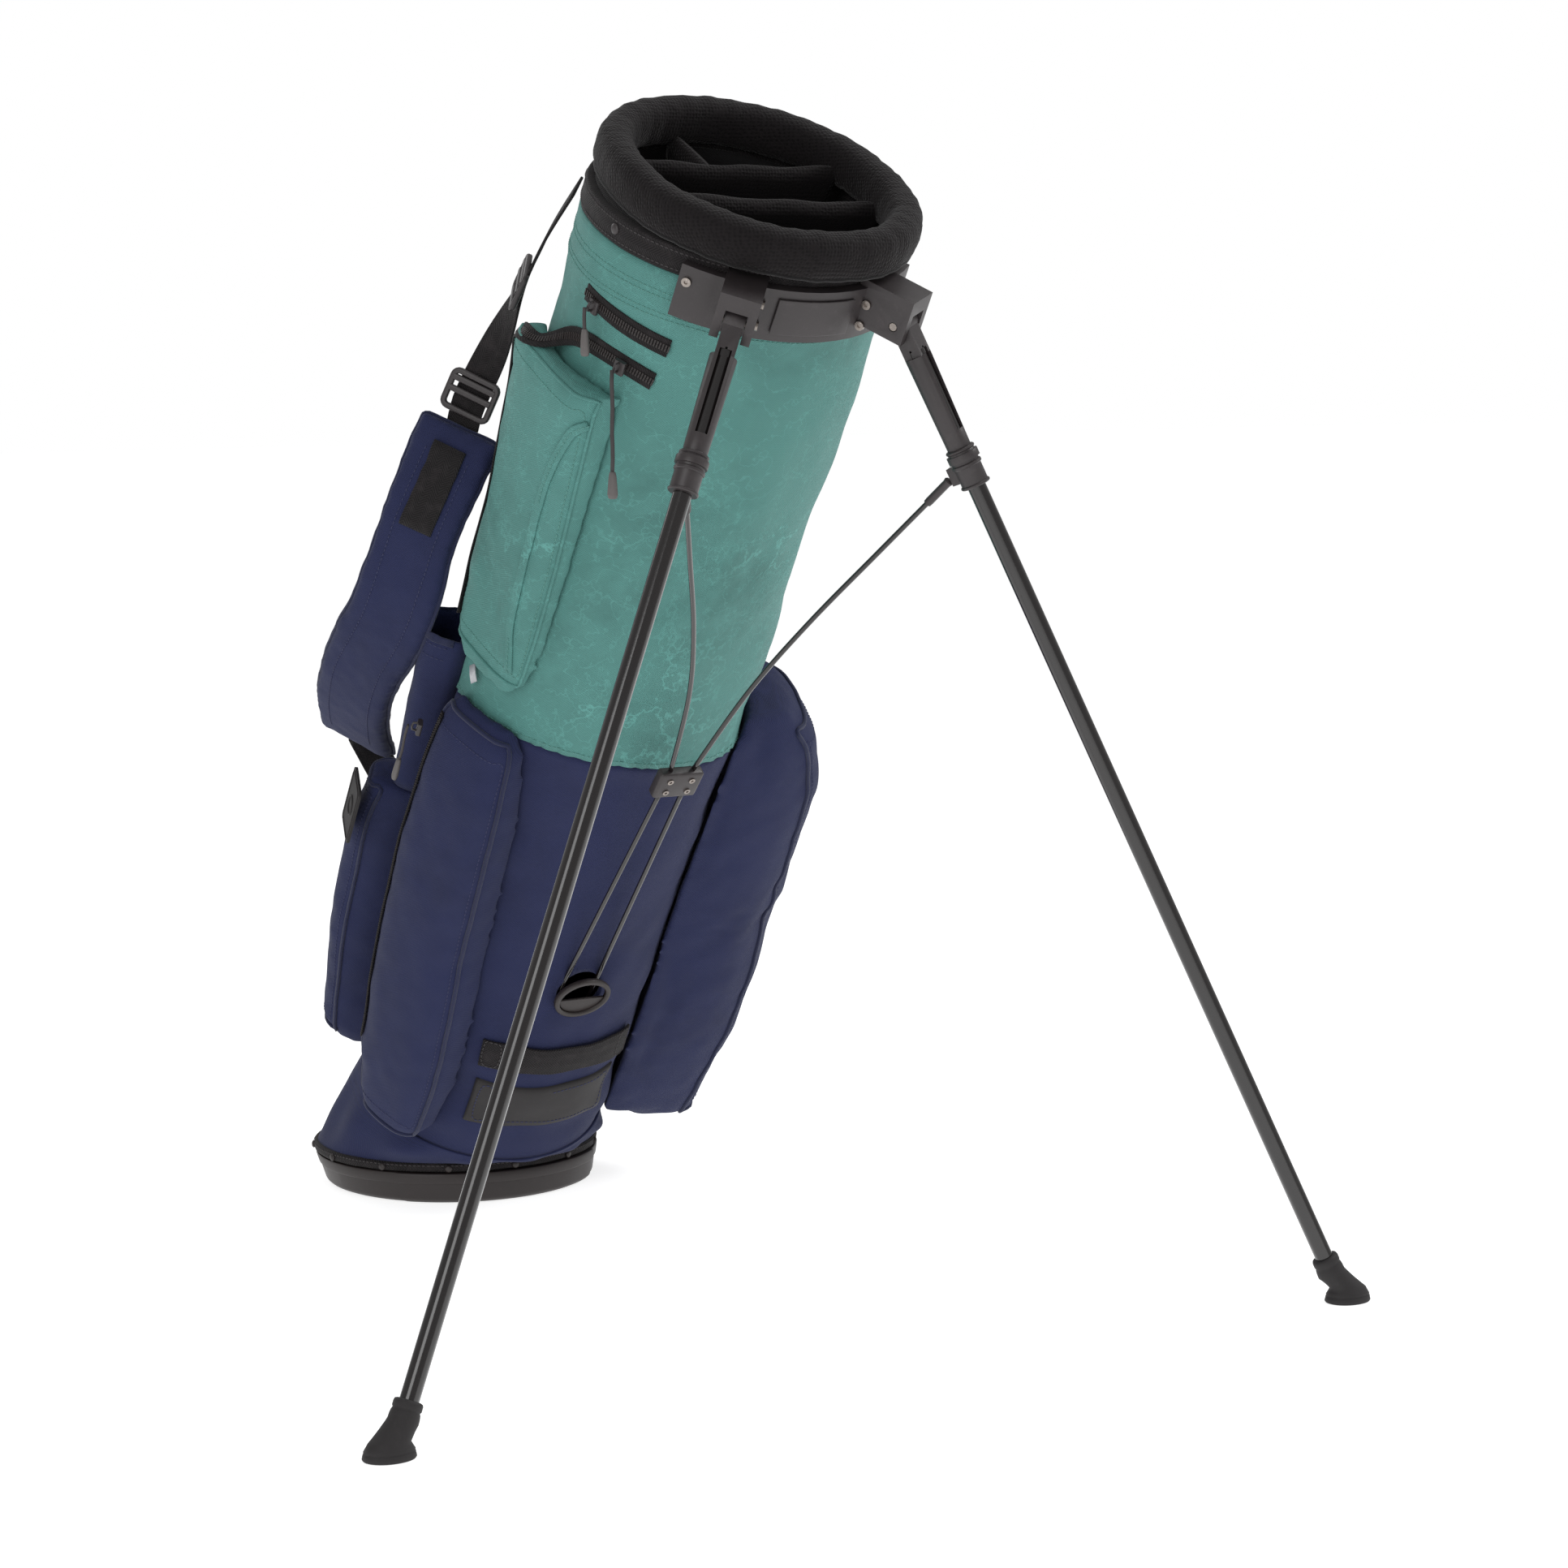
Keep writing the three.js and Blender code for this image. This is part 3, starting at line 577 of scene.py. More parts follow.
def curve_points(points: Sequence[Vector], spacing: float, closed: bool = False) -> list[Vector]:
    """Returns points at an even spacing in metres along a smooth curve through the given points."""
    row = [Vector(p) for p in points]
    size = len(row)

    def near(i: int) -> Vector:
        return row[i % size] if closed else row[min(size - 1, max(0, i))]

    fine = []
    for i in range(size if closed else size - 1):
        p, q, r, s = near(i - 1), near(i), near(i + 1), near(i + 2)
        for step in range(12):
            t = step / 12
            fine.append(0.5 * (2 * q + (r - p) * t + (2 * p - 5 * q + 4 * r - s) * t * t
                               + (3 * q - p - 3 * r + s) * t ** 3))
    if not closed:
        fine.append(row[-1])
    way = lengths(fine, closed)
    count = max(3, round(way[-1] / spacing))
    marks = [way[-1] * i / count for i in range(count if closed else count + 1)]
    result, k = [], 0
    loop = fine + [fine[0]]
    for mark in marks:
        while k < len(way) - 2 and way[k + 1] < mark:
            k += 1
        share = (mark - way[k]) / max(1e-9, way[k + 1] - way[k])
        result.append(loop[k].lerp(loop[k + 1], share))
    return result


class Surface:
    """The finished outside of a piece, for what is sewn or fixed on it."""

    def __init__(self, *pieces: bpy.types.Object) -> None:
        """Reads the pieces' final meshes."""
        graph = bpy.context.evaluated_depsgraph_get()
        self.trees = [BVHTree.FromObject(piece, graph) for piece in pieces]

    def lay(self, points: Iterable[Vector], lift: float) -> tuple[list[Vector], list[Vector]]:
        """Lays points on the nearest surface.

        Args:
            points: points in metres.
            lift: how far in millimetres they end off it.

        Returns:
            The laid points, and the surface's direction at each.
        """
        laid, facing = [], []
        for point in points:
            hits = [tree.find_nearest(point) for tree in self.trees]
            place, normal, _, _ = min((hit for hit in hits if hit[0]), key=lambda hit: hit[3])
            laid.append(place + normal * (lift * MM))
            facing.append(normal)
        return laid, facing


def softened(name: str, node: str, width: float) -> bpy.types.Object:
    """Makes a copy of a CAD node with rounded edges.

    Args:
        name: the new piece's name.
        node: the CAD node.
        width: how wide the rounding is, in millimetres.

    Returns:
        The new object, with nothing declared yet.
    """
    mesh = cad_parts[node].data.copy()
    with editing(mesh) as shape:
        bmesh.ops.remove_doubles(shape, verts=shape.verts, dist=1e-5)
        bmesh.ops.dissolve_limit(shape, angle_limit=math.radians(1.0), verts=shape.verts, edges=shape.edges)
    mesh.shade_smooth()
    piece = new_object(name, mesh)
    bevel = piece.modifiers.new("Rounded edges", "BEVEL")
    bevel.width = width * MM
    bevel.segments = 3
    bevel.limit_method = "ANGLE"
    bevel.angle_limit = math.radians(30.0)
    bevel.harden_normals = False
    apply_modifiers(piece)
    piece.data.set_sharp_from_angle(angle=math.radians(40.0))
    return piece


def apply_modifiers(piece: bpy.types.Object) -> None:
    """Puts the result of a piece's modifiers in its mesh and removes them."""
    graph = bpy.context.evaluated_depsgraph_get()
    graph.update()
    mesh = bpy.data.meshes.new_from_object(piece.evaluated_get(graph))
    piece.modifiers.clear()
    piece.data = mesh


def lathe(name: str, profile: Sequence[tuple[float, float]], axes: Matrix,
          sides: int = 32) -> bpy.types.Object:
    """Turns a profile round the Z axis of the given axes.

    Args:
        name: the piece's name.
        profile: (radius, along) pairs in millimetres.
        axes: from the turning axes to the shared frame, in millimetres.
        sides: facets round.

    Returns:
        The new object.
    """
    rings = [[placed(axes, r * math.cos(t), r * math.sin(t), z) for t in turns(sides)] for r, z in profile]
    piece = loft(name, rings)
    piece.data.set_sharp_from_angle(angle=math.radians(35.0))
    return piece


def push_out(piece: bpy.types.Object, amount: Callable[[Vector], float]) -> None:
    """Moves each vertex out by an amount in millimetres that depends on its place in the bag's axes."""
    back = TO_FLOOR.inverted()
    normals = [v.normal.copy() for v in piece.data.vertices]
    for vertex, normal in zip(piece.data.vertices, normals):
        vertex.co += normal * (amount(back @ vertex.co / MM) * MM)


def joined(name: str, pieces: Sequence[bpy.types.Object], sharp: float | None = 40.0) -> bpy.types.Object:
    """Joins pieces into one new object, each keeping its finish, and removes them.

    Args:
        name: the new piece's name.
        pieces: the pieces.
        sharp: edges sharper than this many degrees stay sharp, or None for none.

    Returns:
        The new object.
    """
    shape = bmesh.new()
    materials = []
    for piece in pieces:
        start = len(shape.faces)
        shape.from_mesh(piece.data)
        shape.faces.ensure_lookup_table()
        for face in shape.faces[start:]:
            face.material_index = len(materials)
        materials.extend(piece.data.materials)
        bpy.data.objects.remove(piece)
    mesh = bpy.data.meshes.new(name)
    shape.to_mesh(mesh)
    shape.free()
    for material in materials:
        mesh.materials.append(material)
    mesh.shade_smooth()
    if sharp is not None:
        mesh.set_sharp_from_angle(angle=math.radians(sharp))
    return new_object(name, mesh)


def declare(piece: bpy.types.Object, finish: Finish | None, body: str, slot: str, *nodes: str) -> bpy.types.Object:
    """Dresses a finished piece and says where it belongs.

    Args:
        piece: the piece.
        finish: what it is made of, or None if it has its finish already.
        body: the body that it rides on.
        slot: the record's material slot; not used.
        nodes: the CAD nodes that it stands for.

    Returns:
        The piece.
    """
    if finish:
        piece.data.materials.clear()
        piece.data.materials.append(finish.material())
    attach(piece, body)
    if nodes:
        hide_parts(*nodes)
    LOG.info("%s: %d faces, rides on %s", piece.name, len(piece.data.polygons), body)
    return piece


def dress(node: str, finish: Finish) -> None:
    """Gives a CAD node that stays as it is its finish."""
    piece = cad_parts[node]
    for holder in piece.material_slots:
        holder.material = finish.material()
    LOG.info("%s: CAD shape kept", node)


# ---------- Rows of small things ----------
class RowPart(Enum):
    """What a row is made of."""

    STITCH = "thread"
    RIVET = "domed rivet"
    TOOTH = "zip tooth"
    SCREW = "socket screw"


def row_tree(part: RowPart, resample: bool) -> bpy.types.NodeTree:
    """Makes the tree that sets small shapes along a line of points.

    The line's points hold the direction that each shape faces, as the attribute "facing".

    Args:
        part: the shape.
        resample: whether the shapes are evenly spaced along the line, instead of one at each of its points.

    Returns:
        The tree, with the inputs Spacing, Length, Width, Height and Finish.
    """
    tree = bpy.data.node_groups.new(f"Row of {part.value}s", "GeometryNodeTree")
    tree.interface.new_socket("Geometry", in_out="INPUT", socket_type="NodeSocketGeometry")
    for name in ("Spacing", "Length", "Width", "Height"):
        tree.interface.new_socket(name, in_out="INPUT", socket_type="NodeSocketFloat")
    tree.interface.new_socket("Finish", in_out="INPUT", socket_type="NodeSocketMaterial")
    tree.interface.new_socket("Geometry", in_out="OUTPUT", socket_type="NodeSocketGeometry")
    graph = Graph(tree)
    given = graph.add("NodeGroupInput").outputs
    line = graph.add("GeometryNodeMeshToCurve", {0: given["Geometry"]}).outputs[0]
    if resample:
        line = graph.add("GeometryNodeResampleCurve", {"Curve": line, "Length": given["Spacing"]},
                         mode="LENGTH").outputs[0]
    size = graph.add("ShaderNodeCombineXYZ",
                     {0: given["Length"], 1: given["Width"], 2: given["Height"]}).outputs[0]
    if part in (RowPart.STITCH, RowPart.RIVET):
        facets = 8 if part is RowPart.STITCH else 16
        unit = graph.add("GeometryNodeMeshUVSphere",
                         {"Segments": facets, "Rings": 6, "Radius": 0.5}).outputs[0]
    elif part is RowPart.SCREW:
        unit = graph.add("GeometryNodeMeshCylinder", {"Vertices": 24, "Radius": 0.5, "Depth": 1.0}).outputs[0]
        bore = graph.add("GeometryNodeMeshCylinder", {"Vertices": 6, "Radius": 0.24, "Depth": 1.0}).outputs[0]
        raised = graph.add("GeometryNodeTransform",
                           {"Geometry": bore, "Translation": (0.0, 0.0, 0.6)}).outputs[0]
        unit = graph.add("GeometryNodeMeshBoolean", {"Mesh 1": unit, "Mesh 2": raised}).outputs[0]
    else:
        unit = graph.add("GeometryNodeMeshCube", {"Size": (1.0, 1.0, 1.0)}).outputs[0]
    tangent = graph.add("GeometryNodeInputTangent").outputs[0]
    facing = graph.add("GeometryNodeInputNamedAttribute", {"Name": "facing"},
                       data_type="FLOAT_VECTOR").outputs[0]
    turn = graph.add("FunctionNodeAxesToRotation", {"Primary Axis": facing, "Secondary Axis": tangent},
                     primary_axis="Z", secondary_axis="X").outputs[0]
    placed = graph.add("GeometryNodeInstanceOnPoints", {"Points": line, "Instance": unit, "Rotation": turn,
                                                        "Scale": size}).outputs[0]
    real = graph.add("GeometryNodeRealizeInstances", {0: placed}).outputs[0]
    dressed = graph.add("GeometryNodeSetMaterial", {"Geometry": real, "Material": given["Finish"]}).outputs[0]
    graph.add("NodeGroupOutput", {0: dressed})
    return tree


@dataclass(frozen=True)
class Row:
    """A row of small equal shapes that follows a line on a surface."""

    part: RowPart
    finish: Finish
    spacing: float
    size: tuple[float, float, float]
    resample: bool = True

    def lay(self, name: str,
            lines: Sequence[tuple[Sequence[Vector], Sequence[Vector], bool]]) -> bpy.types.Object:
        """Makes the row.

        Args:
            name: the piece's name.
            lines: the points of each line in metres, the facing at each, and whether the line is a loop.

        Returns:
            The row as one plain mesh, with nothing declared yet.
        """
        points, facings, edges = [], [], []
        for line, facing, closed in lines:
            start = len(points)
            points.extend(line)
            facings.extend(facing)
            edges.extend((start + i, start + i + 1) for i in range(len(line) - 1))
            if closed:
                edges.append((start + len(line) - 1, start))
        mesh = bpy.data.meshes.new(name)
        mesh.from_pydata([tuple(p) for p in points], edges, [])
        layer = mesh.attributes.new("facing", "FLOAT_VECTOR", "POINT")
        layer.data.foreach_set("vector", [c for facing in facings for c in facing])
        piece = new_object(name, mesh)
        tree = row_tree(self.part, self.resample)
        modifier = piece.modifiers.new("Row", "NODES")
        modifier.node_group = tree
        values = {"Spacing": self.spacing * MM, "Length": self.size[0] * MM, "Width": self.size[1] * MM,
                  "Height": self.size[2] * MM, "Finish": self.finish.material()}
        for socket in tree.interface.items_tree:
            if socket.in_out == "INPUT" and socket.name in values:
                modifier[socket.identifier] = values[socket.name]
        apply_modifiers(piece)
        piece.data.shade_smooth()
        if self.part in (RowPart.SCREW, RowPart.TOOTH):
            piece.data.set_sharp_from_angle(angle=math.radians(35.0))
        return piece


def stitches(finish: Finish) -> Row:
    """Returns a row of stitches in a thread."""
    return Row(RowPart.STITCH, finish, 3.6, (2.9, 0.9, 0.7))


def sewn_lines(surface: Surface, lines: Sequence[Sequence[Vector]], closed: bool = False,
               lift: float = 0.15) -> list[tuple[list[Vector], list[Vector], bool]]:
    """Lays guide lines, given in the bag's axes, on a surface, ready for a row."""
    laid = []
    for line in lines:
        points = curve_points([bag_point(*p) for p in line], 0.004, closed)
        laid.append((*surface.lay(points, lift), closed))
    return laid


def laid_strip(name: str, surface: Surface, line: Sequence[Vector], lift: float,
               outline: Sequence[tuple[float, float]], closed: bool = False) -> bpy.types.Object:
    """Carries an outline along a guide line, given in the bag's axes, laid on a surface."""
    points = curve_points([bag_point(*p) for p in line], 0.005, closed)
    return sweep(name, *surface.lay(points, lift), outline, closed)


# ---------- Stuffed cloth ----------
@dataclass
class Stuffing:
    """Cloth pieces that are blown up together and then kept as plain meshes."""

    frames: int = 20

    def __post_init__(self) -> None:
        """Starts with nothing to fill."""
        self.jobs: list[tuple[bpy.types.Object, float]] = []

    def shell(self, name: str, node: str, voxel: float, shrink: float, pressure: float, cap: float,
              held: Callable[[Vector], bool]) -> bpy.types.Object:
        """Makes a fine even shell from a CAD soft solid, ready to fill.

        Args:
            name: the new piece's name.
            node: the CAD node.
            voxel: size of its facets in millimetres.
            shrink: how far it starts inside the solid, in millimetres.
            pressure: how hard it is filled.
            cap: how far in millimetres a point may move.
            held: whether a point in the bag's axes is sewn down.

        Returns:
            The new object.
        """
        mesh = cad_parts[node].data.copy()
        piece = new_object(name, mesh)
        remesh = piece.modifiers.new("Even facets", "REMESH")
        remesh.mode = "VOXEL"
        remesh.voxel_size = voxel * MM
        relax = piece.modifiers.new("Relax", "SMOOTH")
        relax.factor = 0.5
        relax.iterations = 6
        apply_modifiers(piece)
        push_out(piece, lambda _: -shrink)
        piece.data.shade_smooth()
        back = TO_FLOOR.inverted()
        group = piece.vertex_groups.new(name="held")
        group.add([v.index for v in piece.data.vertices if held(back @ v.co / MM)], 1.0, "REPLACE")
        cloth = piece.modifiers.new("Cloth", "CLOTH")
        settings = cloth.settings
        settings.quality = 4
        settings.mass = 0.3
        settings.tension_stiffness = 12.0
        settings.compression_stiffness = 8.0
        settings.bending_stiffness = 0.8
        settings.use_pressure = True
        settings.uniform_pressure_force = pressure
        settings.vertex_group_mass = "held"
        settings.effector_weights.gravity = 0.0
        cloth.collision_settings.use_collision = False
        self.jobs.append((piece, cap))
        return piece

    def fill(self) -> None:
        """Runs the simulation on every shell, holds each point to its cap, and keeps the result."""
        scene = bpy.context.scene
        for step in range(1, self.frames + 1 if self.jobs else 1):
            scene.frame_set(step)
        graph = bpy.context.evaluated_depsgraph_get()
        for piece, cap in self.jobs:
            moved = piece.evaluated_get(graph).data
            places = [v.co.copy() for v in moved.vertices]
            piece.modifiers.clear()
            for vertex, place in zip(piece.data.vertices, places):
                step = place - vertex.co
                if step.length > cap * MM:
                    step *= cap * MM / step.length
                vertex.co += step
            piece.data.update()
            LOG.info("%s: filled, %d points", piece.name, len(places))
        self.jobs.clear()
        scene.frame_set(1)


def refine(piece: bpy.types.Object, smooth: int) -> None:
    """Gives a simulated piece one subdivision, after a number of smoothing passes."""
    relax = piece.modifiers.new("Relax", "SMOOTH")
    relax.factor = 0.5
    relax.iterations = smooth
    fine = piece.modifiers.new("Finer", "SUBSURF")
    fine.levels = fine.render_levels = 1
    apply_modifiers(piece)
    piece.data.shade_smooth()


# ---------- Base ----------
@dataclass
class Base:
    """The flat foot that stays on the floor, its binding and the loose cloth above it."""

    half_depth: float = 98.0
    half_width: float = 105.0
    shift: float = 2.4
    flare: float = 6.0
    shell_top: float = 24.0
    plate_edge: float = 66.0
    edge_height: float = 1.0
    sides: int = 120
    binding_height: float = 28.1
    binding_shift: float = -5.5
    binding_half_depth: float = 102.4
    binding_half_width: float = 108.4
    rivet_spacing: float = 56.0

    def ring(self, height: float, out: float) -> list[Vector]:
        """Returns the shell's outline at a height, standing out by an amount."""
        flare = self.flare * height / self.shell_top if height >= self.edge_height else 0.0
        return [floor_point(self.shift - flare + (self.half_depth + flare + out) * math.cos(t),
                            (self.half_width + flare + out) * math.sin(t), height)
                for t in turns(self.sides)]

    def cup(self, name: str, proud: float, front: bool) -> bpy.types.Object:
        """Makes the part of the shell behind or in front of the line that it rocks on."""
        profile = ((0.0, -6.0), (0.5, -4.4), (1.6, -1.9), (3.2, -0.4), (4.6, 0.0), (15.2, 0.0),
                   (15.9, 0.7), (16.6, 1.0), (22.4, 1.0), (23.5, 0.4), (24.0, -0.8), (24.0, -4.4),
                   (23.4, -5.0), (6.0, -5.0))
        rings = [self.ring(z, out + proud) for z, out in profile]
        rings.append(self.ring(5.0, -9.0))
        piece = loft(name, rings)
        edge = self.plate_edge + (0.4 if front else 0.0)
        with editing(piece.data) as shape:
            cut = bmesh.ops.bisect_plane(shape, geom=shape.verts[:] + shape.edges[:] + shape.faces[:],
                                         dist=1e-7, plane_co=(edge * MM, 0, 0), plane_no=(1, 0, 0),
                                         clear_inner=front, clear_outer=not front)
            rim = [e for e in cut["geom_cut"] if isinstance(e, bmesh.types.BMEdge)]
            bmesh.ops.triangle_fill(shape, use_beauty=True, edges=rim)
            bmesh.ops.recalc_face_normals(shape, faces=shape.faces)
        piece.data.set_sharp_from_angle(angle=math.radians(38.0))
        return piece

    def build(self) -> None:
        """Makes and dresses the base."""
        declare(self.cup("base_shell_moulding", 0.0, False), DARK, "base", "dark_plastic", "base_shell")
        declare(self.cup("foot_plate_moulding", 1.4, True), DARK, "base", "dark_plastic", "foot_plate")
        self.build_binding()
        for node in ("rod_anchor", "base_hinge_left", "base_hinge_right"):
            dress(node, SATIN)
        dress("rod_pivot_pin", STEEL)
        self.build_collar()

    def oval(self, height: float, out: float, sides: int = 120) -> tuple[list[Vector], list[Vector]]:
        """Returns a level oval that stands off the binding's middle, and the directions that it faces."""
        depth, width = self.binding_half_depth + out, self.binding_half_width + out
        points = [floor_point(self.binding_shift + depth * math.cos(t), width * math.sin(t), height)
                  for t in turns(sides)]
        return points, [Vector((math.cos(t), math.sin(t), 0.0)) for t in turns(sides)]

    def build_binding(self) -> None:
        """Makes the webbing that binds the cloth to the shell, its stitches and its rivets."""
        path, facing = self.oval(self.binding_height, 0.0)
        binding = sweep("base_binding_tape", path, facing, flat_outline(7.4, 7.2, 2.4), closed=True)
        push_out(binding, lambda p: 0.35 * ripple(p, 14.0))
        declare(binding, STRAP, "base", "webbing", "base_binding")
        edge, out = self.oval(self.binding_height + 1.6, 3.8)
        sewn = stitches(BLACK_THREAD).lay("base_binding_stitches", [(edge, out, True)])
        declare(sewn, None, "base", "webbing")
        middle, out = self.oval(self.binding_height - 0.6, 4.0)
        studs = Row(RowPart.RIVET, DARK, self.rivet_spacing, (6.0, 6.0, 3.2))
        declare(studs.lay("base_rivets", [(middle, out, True)]), None, "base", "dark_plastic")

    def build_collar(self) -> None:
        """Makes the gathered cloth that bends between the base and the bag."""
        sides, levels = 160, 26
        low, _ = self.oval(31.0, 1.2, sides)
        high = [bag_point(*skin(360.0 * i / sides, BODY_BOTTOM + 2.0, 1.6)) for i in range(sides)]
        outer = []
        for k in range(levels + 1):
            share = k / levels
            ring = []
            for turn, start, end in zip(turns(sides), low, high):
                point = start.lerp(end, share)
                out = Vector((math.cos(turn), math.sin(turn), -0.15)).normalized()
                slack = math.sin(math.pi * share) * (1.0 + 0.9 * math.cos(turn))
                fold = math.sin(13.0 * turn + 2.2 * share + 1.3 * math.sin(3.0 * turn))
                lump = ripple(Vector((60 * math.cos(turn), 60 * math.sin(turn), 40 * share)), 22.0, 3.0)
                stand = 2.2 * slack + math.sin(math.pi * share) * (1.5 * fold + 2.6 * lump)
                ring.append(point + out * (MM * stand))
            outer.append(ring)
        inner = []
        for ring in outer[::-5]:
            centre = sum(ring, Vector()) / sides
            inner.append([p.lerp(centre, 0.03) for p in ring])
        collar = loft("base_collar_cloth", outer + inner, cyclic=True)
        collar.data.materials.append(NAVY_MAPPED.material())
        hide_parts("base_collar")
        LOG.info("%s: %d faces, bends between base and bag", collar.name, len(collar.data.polygons))
        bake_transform(collar)


# ---------- Body ----------
@dataclass
class Body:
    """The two cloth tubes of the bag, sewn together at the colour seam."""

    wall: float = 3.5
    columns: int = 160
    row_height: float = 6.0
    hem_height: float = 823.0

    def seam(self, angle: float) -> float:
        """Returns the height of the colour seam at an angle."""
        turn = math.radians(angle)
        return COLOUR_SEAM - 1.0 + 10.0 * math.cos(turn) - 11.0 * math.sin(turn)

    def shell(self, name: str, low: Callable[[float], float], high: Callable[[float], float],
              bulge: Callable[[float, float], float]) -> bpy.types.Object:
        """Makes a cloth tube.

        Args:
            name: the piece's name.
            low: its lower edge's height at an angle.
            high: its upper edge's height at an angle.
            bulge: how far it stands out at an angle and a height.

        Returns:
            The new object.
        """
        angles = [360.0 * i / self.columns for i in range(self.columns)]
        rows = round((high(0.0) - low(0.0)) / self.row_height)

        def ring(share: float, inset: float) -> list[Vector]:
            points = []
            for angle in angles:
                height = blend_value(low(angle), high(angle), share)
                out = -inset if inset else bulge(angle, height)
                points.append(bag_point(*skin(angle, height, out)))
            return points

        outer = [ring(k / rows, 0.0) for k in range(rows + 1)]
        inner = [ring(k / 8, self.wall) for k in range(8, -1, -1)]
        return loft(name, outer + inner, cyclic=True)

    def lower_bulge(self, angle: float, height: float) -> float:
        """Returns how far the lower cloth stands out: slack folds, and gathers at its edges."""
        place = skin(angle, height)
        turn = math.radians(angle)
        slack = 3.4 * ripple(place, 62.0, 5.0) + 1.6 * ripple(place, 26.0, 9.0)
        drag = 1.6 * math.sin(0.09 * height + 4.0 * math.sin(turn))
        drag *= ease((260 - height) / 120) * ease((height - BODY_BOTTOM) / 30)
        gather = 0.7 * math.sin(46.0 * turn + 1.5 * math.sin(9 * turn))
        gather *= math.exp(-((height - self.seam(angle)) / 9) ** 2)
        edge = ease((height - BODY_BOTTOM) / 25.0)
        return (slack + drag) * edge * ease((self.seam(angle) - height) / 18.0) + gather

    def upper_bulge(self, angle: float, height: float) -> float:
        """Returns how far the waxed cloth stands out: soft dents, the hem band and the seam's gathers."""
        place = skin(angle, height)
        turn = math.radians(angle)
        from_seam = height - self.seam(angle)
        dents = 3.4 * ripple(place, 80.0, 1.0) + 1.3 * ripple(place, 32.0, 7.0)
        dents += 0.3 * ripple(place, 11.0, 4.0)
        band = 1.1 * ease((height - RIM_SLOPE * place.x - self.hem_height) / 2.0)
        gather = 0.8 * math.sin(52.0 * turn + 2.0 * math.sin(7 * turn)) * math.exp(-(from_seam / 8.0) ** 2)
        lap = 1.1 * math.exp(-(max(0.0, from_seam) / 5.0) ** 2)
        return dents * ease(from_seam / 24.0) * ease((BODY_TOP - height) / 50.0) + band + gather + lap + 0.4

    def build(self) -> tuple[bpy.types.Object, bpy.types.Object]:
        """Makes and dresses both tubes, their seams and what stiffens them, and returns the tubes."""
        lower = self.shell("lower_body_cloth", lambda _: BODY_BOTTOM, lambda angle: self.seam(angle) - 0.5,
                           self.lower_bulge)
        self.open_port(lower)
        declare(lower, NAVY_MAPPED, "bag", "navy_canvas", "lower_body")
        upper = self.shell("upper_body_cloth", self.seam,
                           lambda angle: BODY_TOP + RIM_SLOPE * skin(angle, BODY_TOP).x, self.upper_bulge)
        declare(upper, WAXED, "bag", "waxed_canvas", "upper_body")
        self.build_seams(Surface(upper))
        dress("bottom_frame", SATIN)
        for name in SIDES:
            dress(f"stay_{name}", BLACK_RUBBER)
        return lower, upper

    def open_port(self, lower: bpy.types.Object) -> None:
        """Cuts the hole that the push rods run through."""
        axes = TO_FLOOR @ Matrix.Translation((88.0, 0.0, PORT_HEIGHT)) @ Matrix.Rotation(PORT_TURN, 4, "Y")
        rings = [[placed(axes, 16.0 * math.cos(t), 18.6 * math.sin(t), z) for t in turns(40)]
                 for z in (-26.0, 26.0)]
        cutter = loft("port_cutter", rings)
        hole = lower.modifiers.new("Port", "BOOLEAN")
        hole.operation = "DIFFERENCE"
        hole.object = cutter
        apply_modifiers(lower)
        bpy.data.objects.remove(cutter)

    def build_seams(self, surface: Surface) -> None:
        """Sews the rows round the hem band and the colour seam."""
        def round_line(height: Callable[[float], float]) -> list[Vector]:
            return [skin(angle, height(angle), 1.5) for angle in range(0, 360, 6)]

        def sloped(height: float) -> Callable[[float], float]:
            return lambda angle: height + RIM_SLOPE * skin(angle, height).x

        heights = (sloped(845.0), sloped(841.0), sloped(self.hem_height + 3.5), sloped(self.hem_height + 7.0),
                   lambda angle: self.seam(angle) + 3.5)
        rows = sewn_lines(surface, [round_line(height) for height in heights], closed=True)
        declare(stitches(TEAL_THREAD).lay("upper_body_stitches", rows), None, "bag", "waxed_canvas")


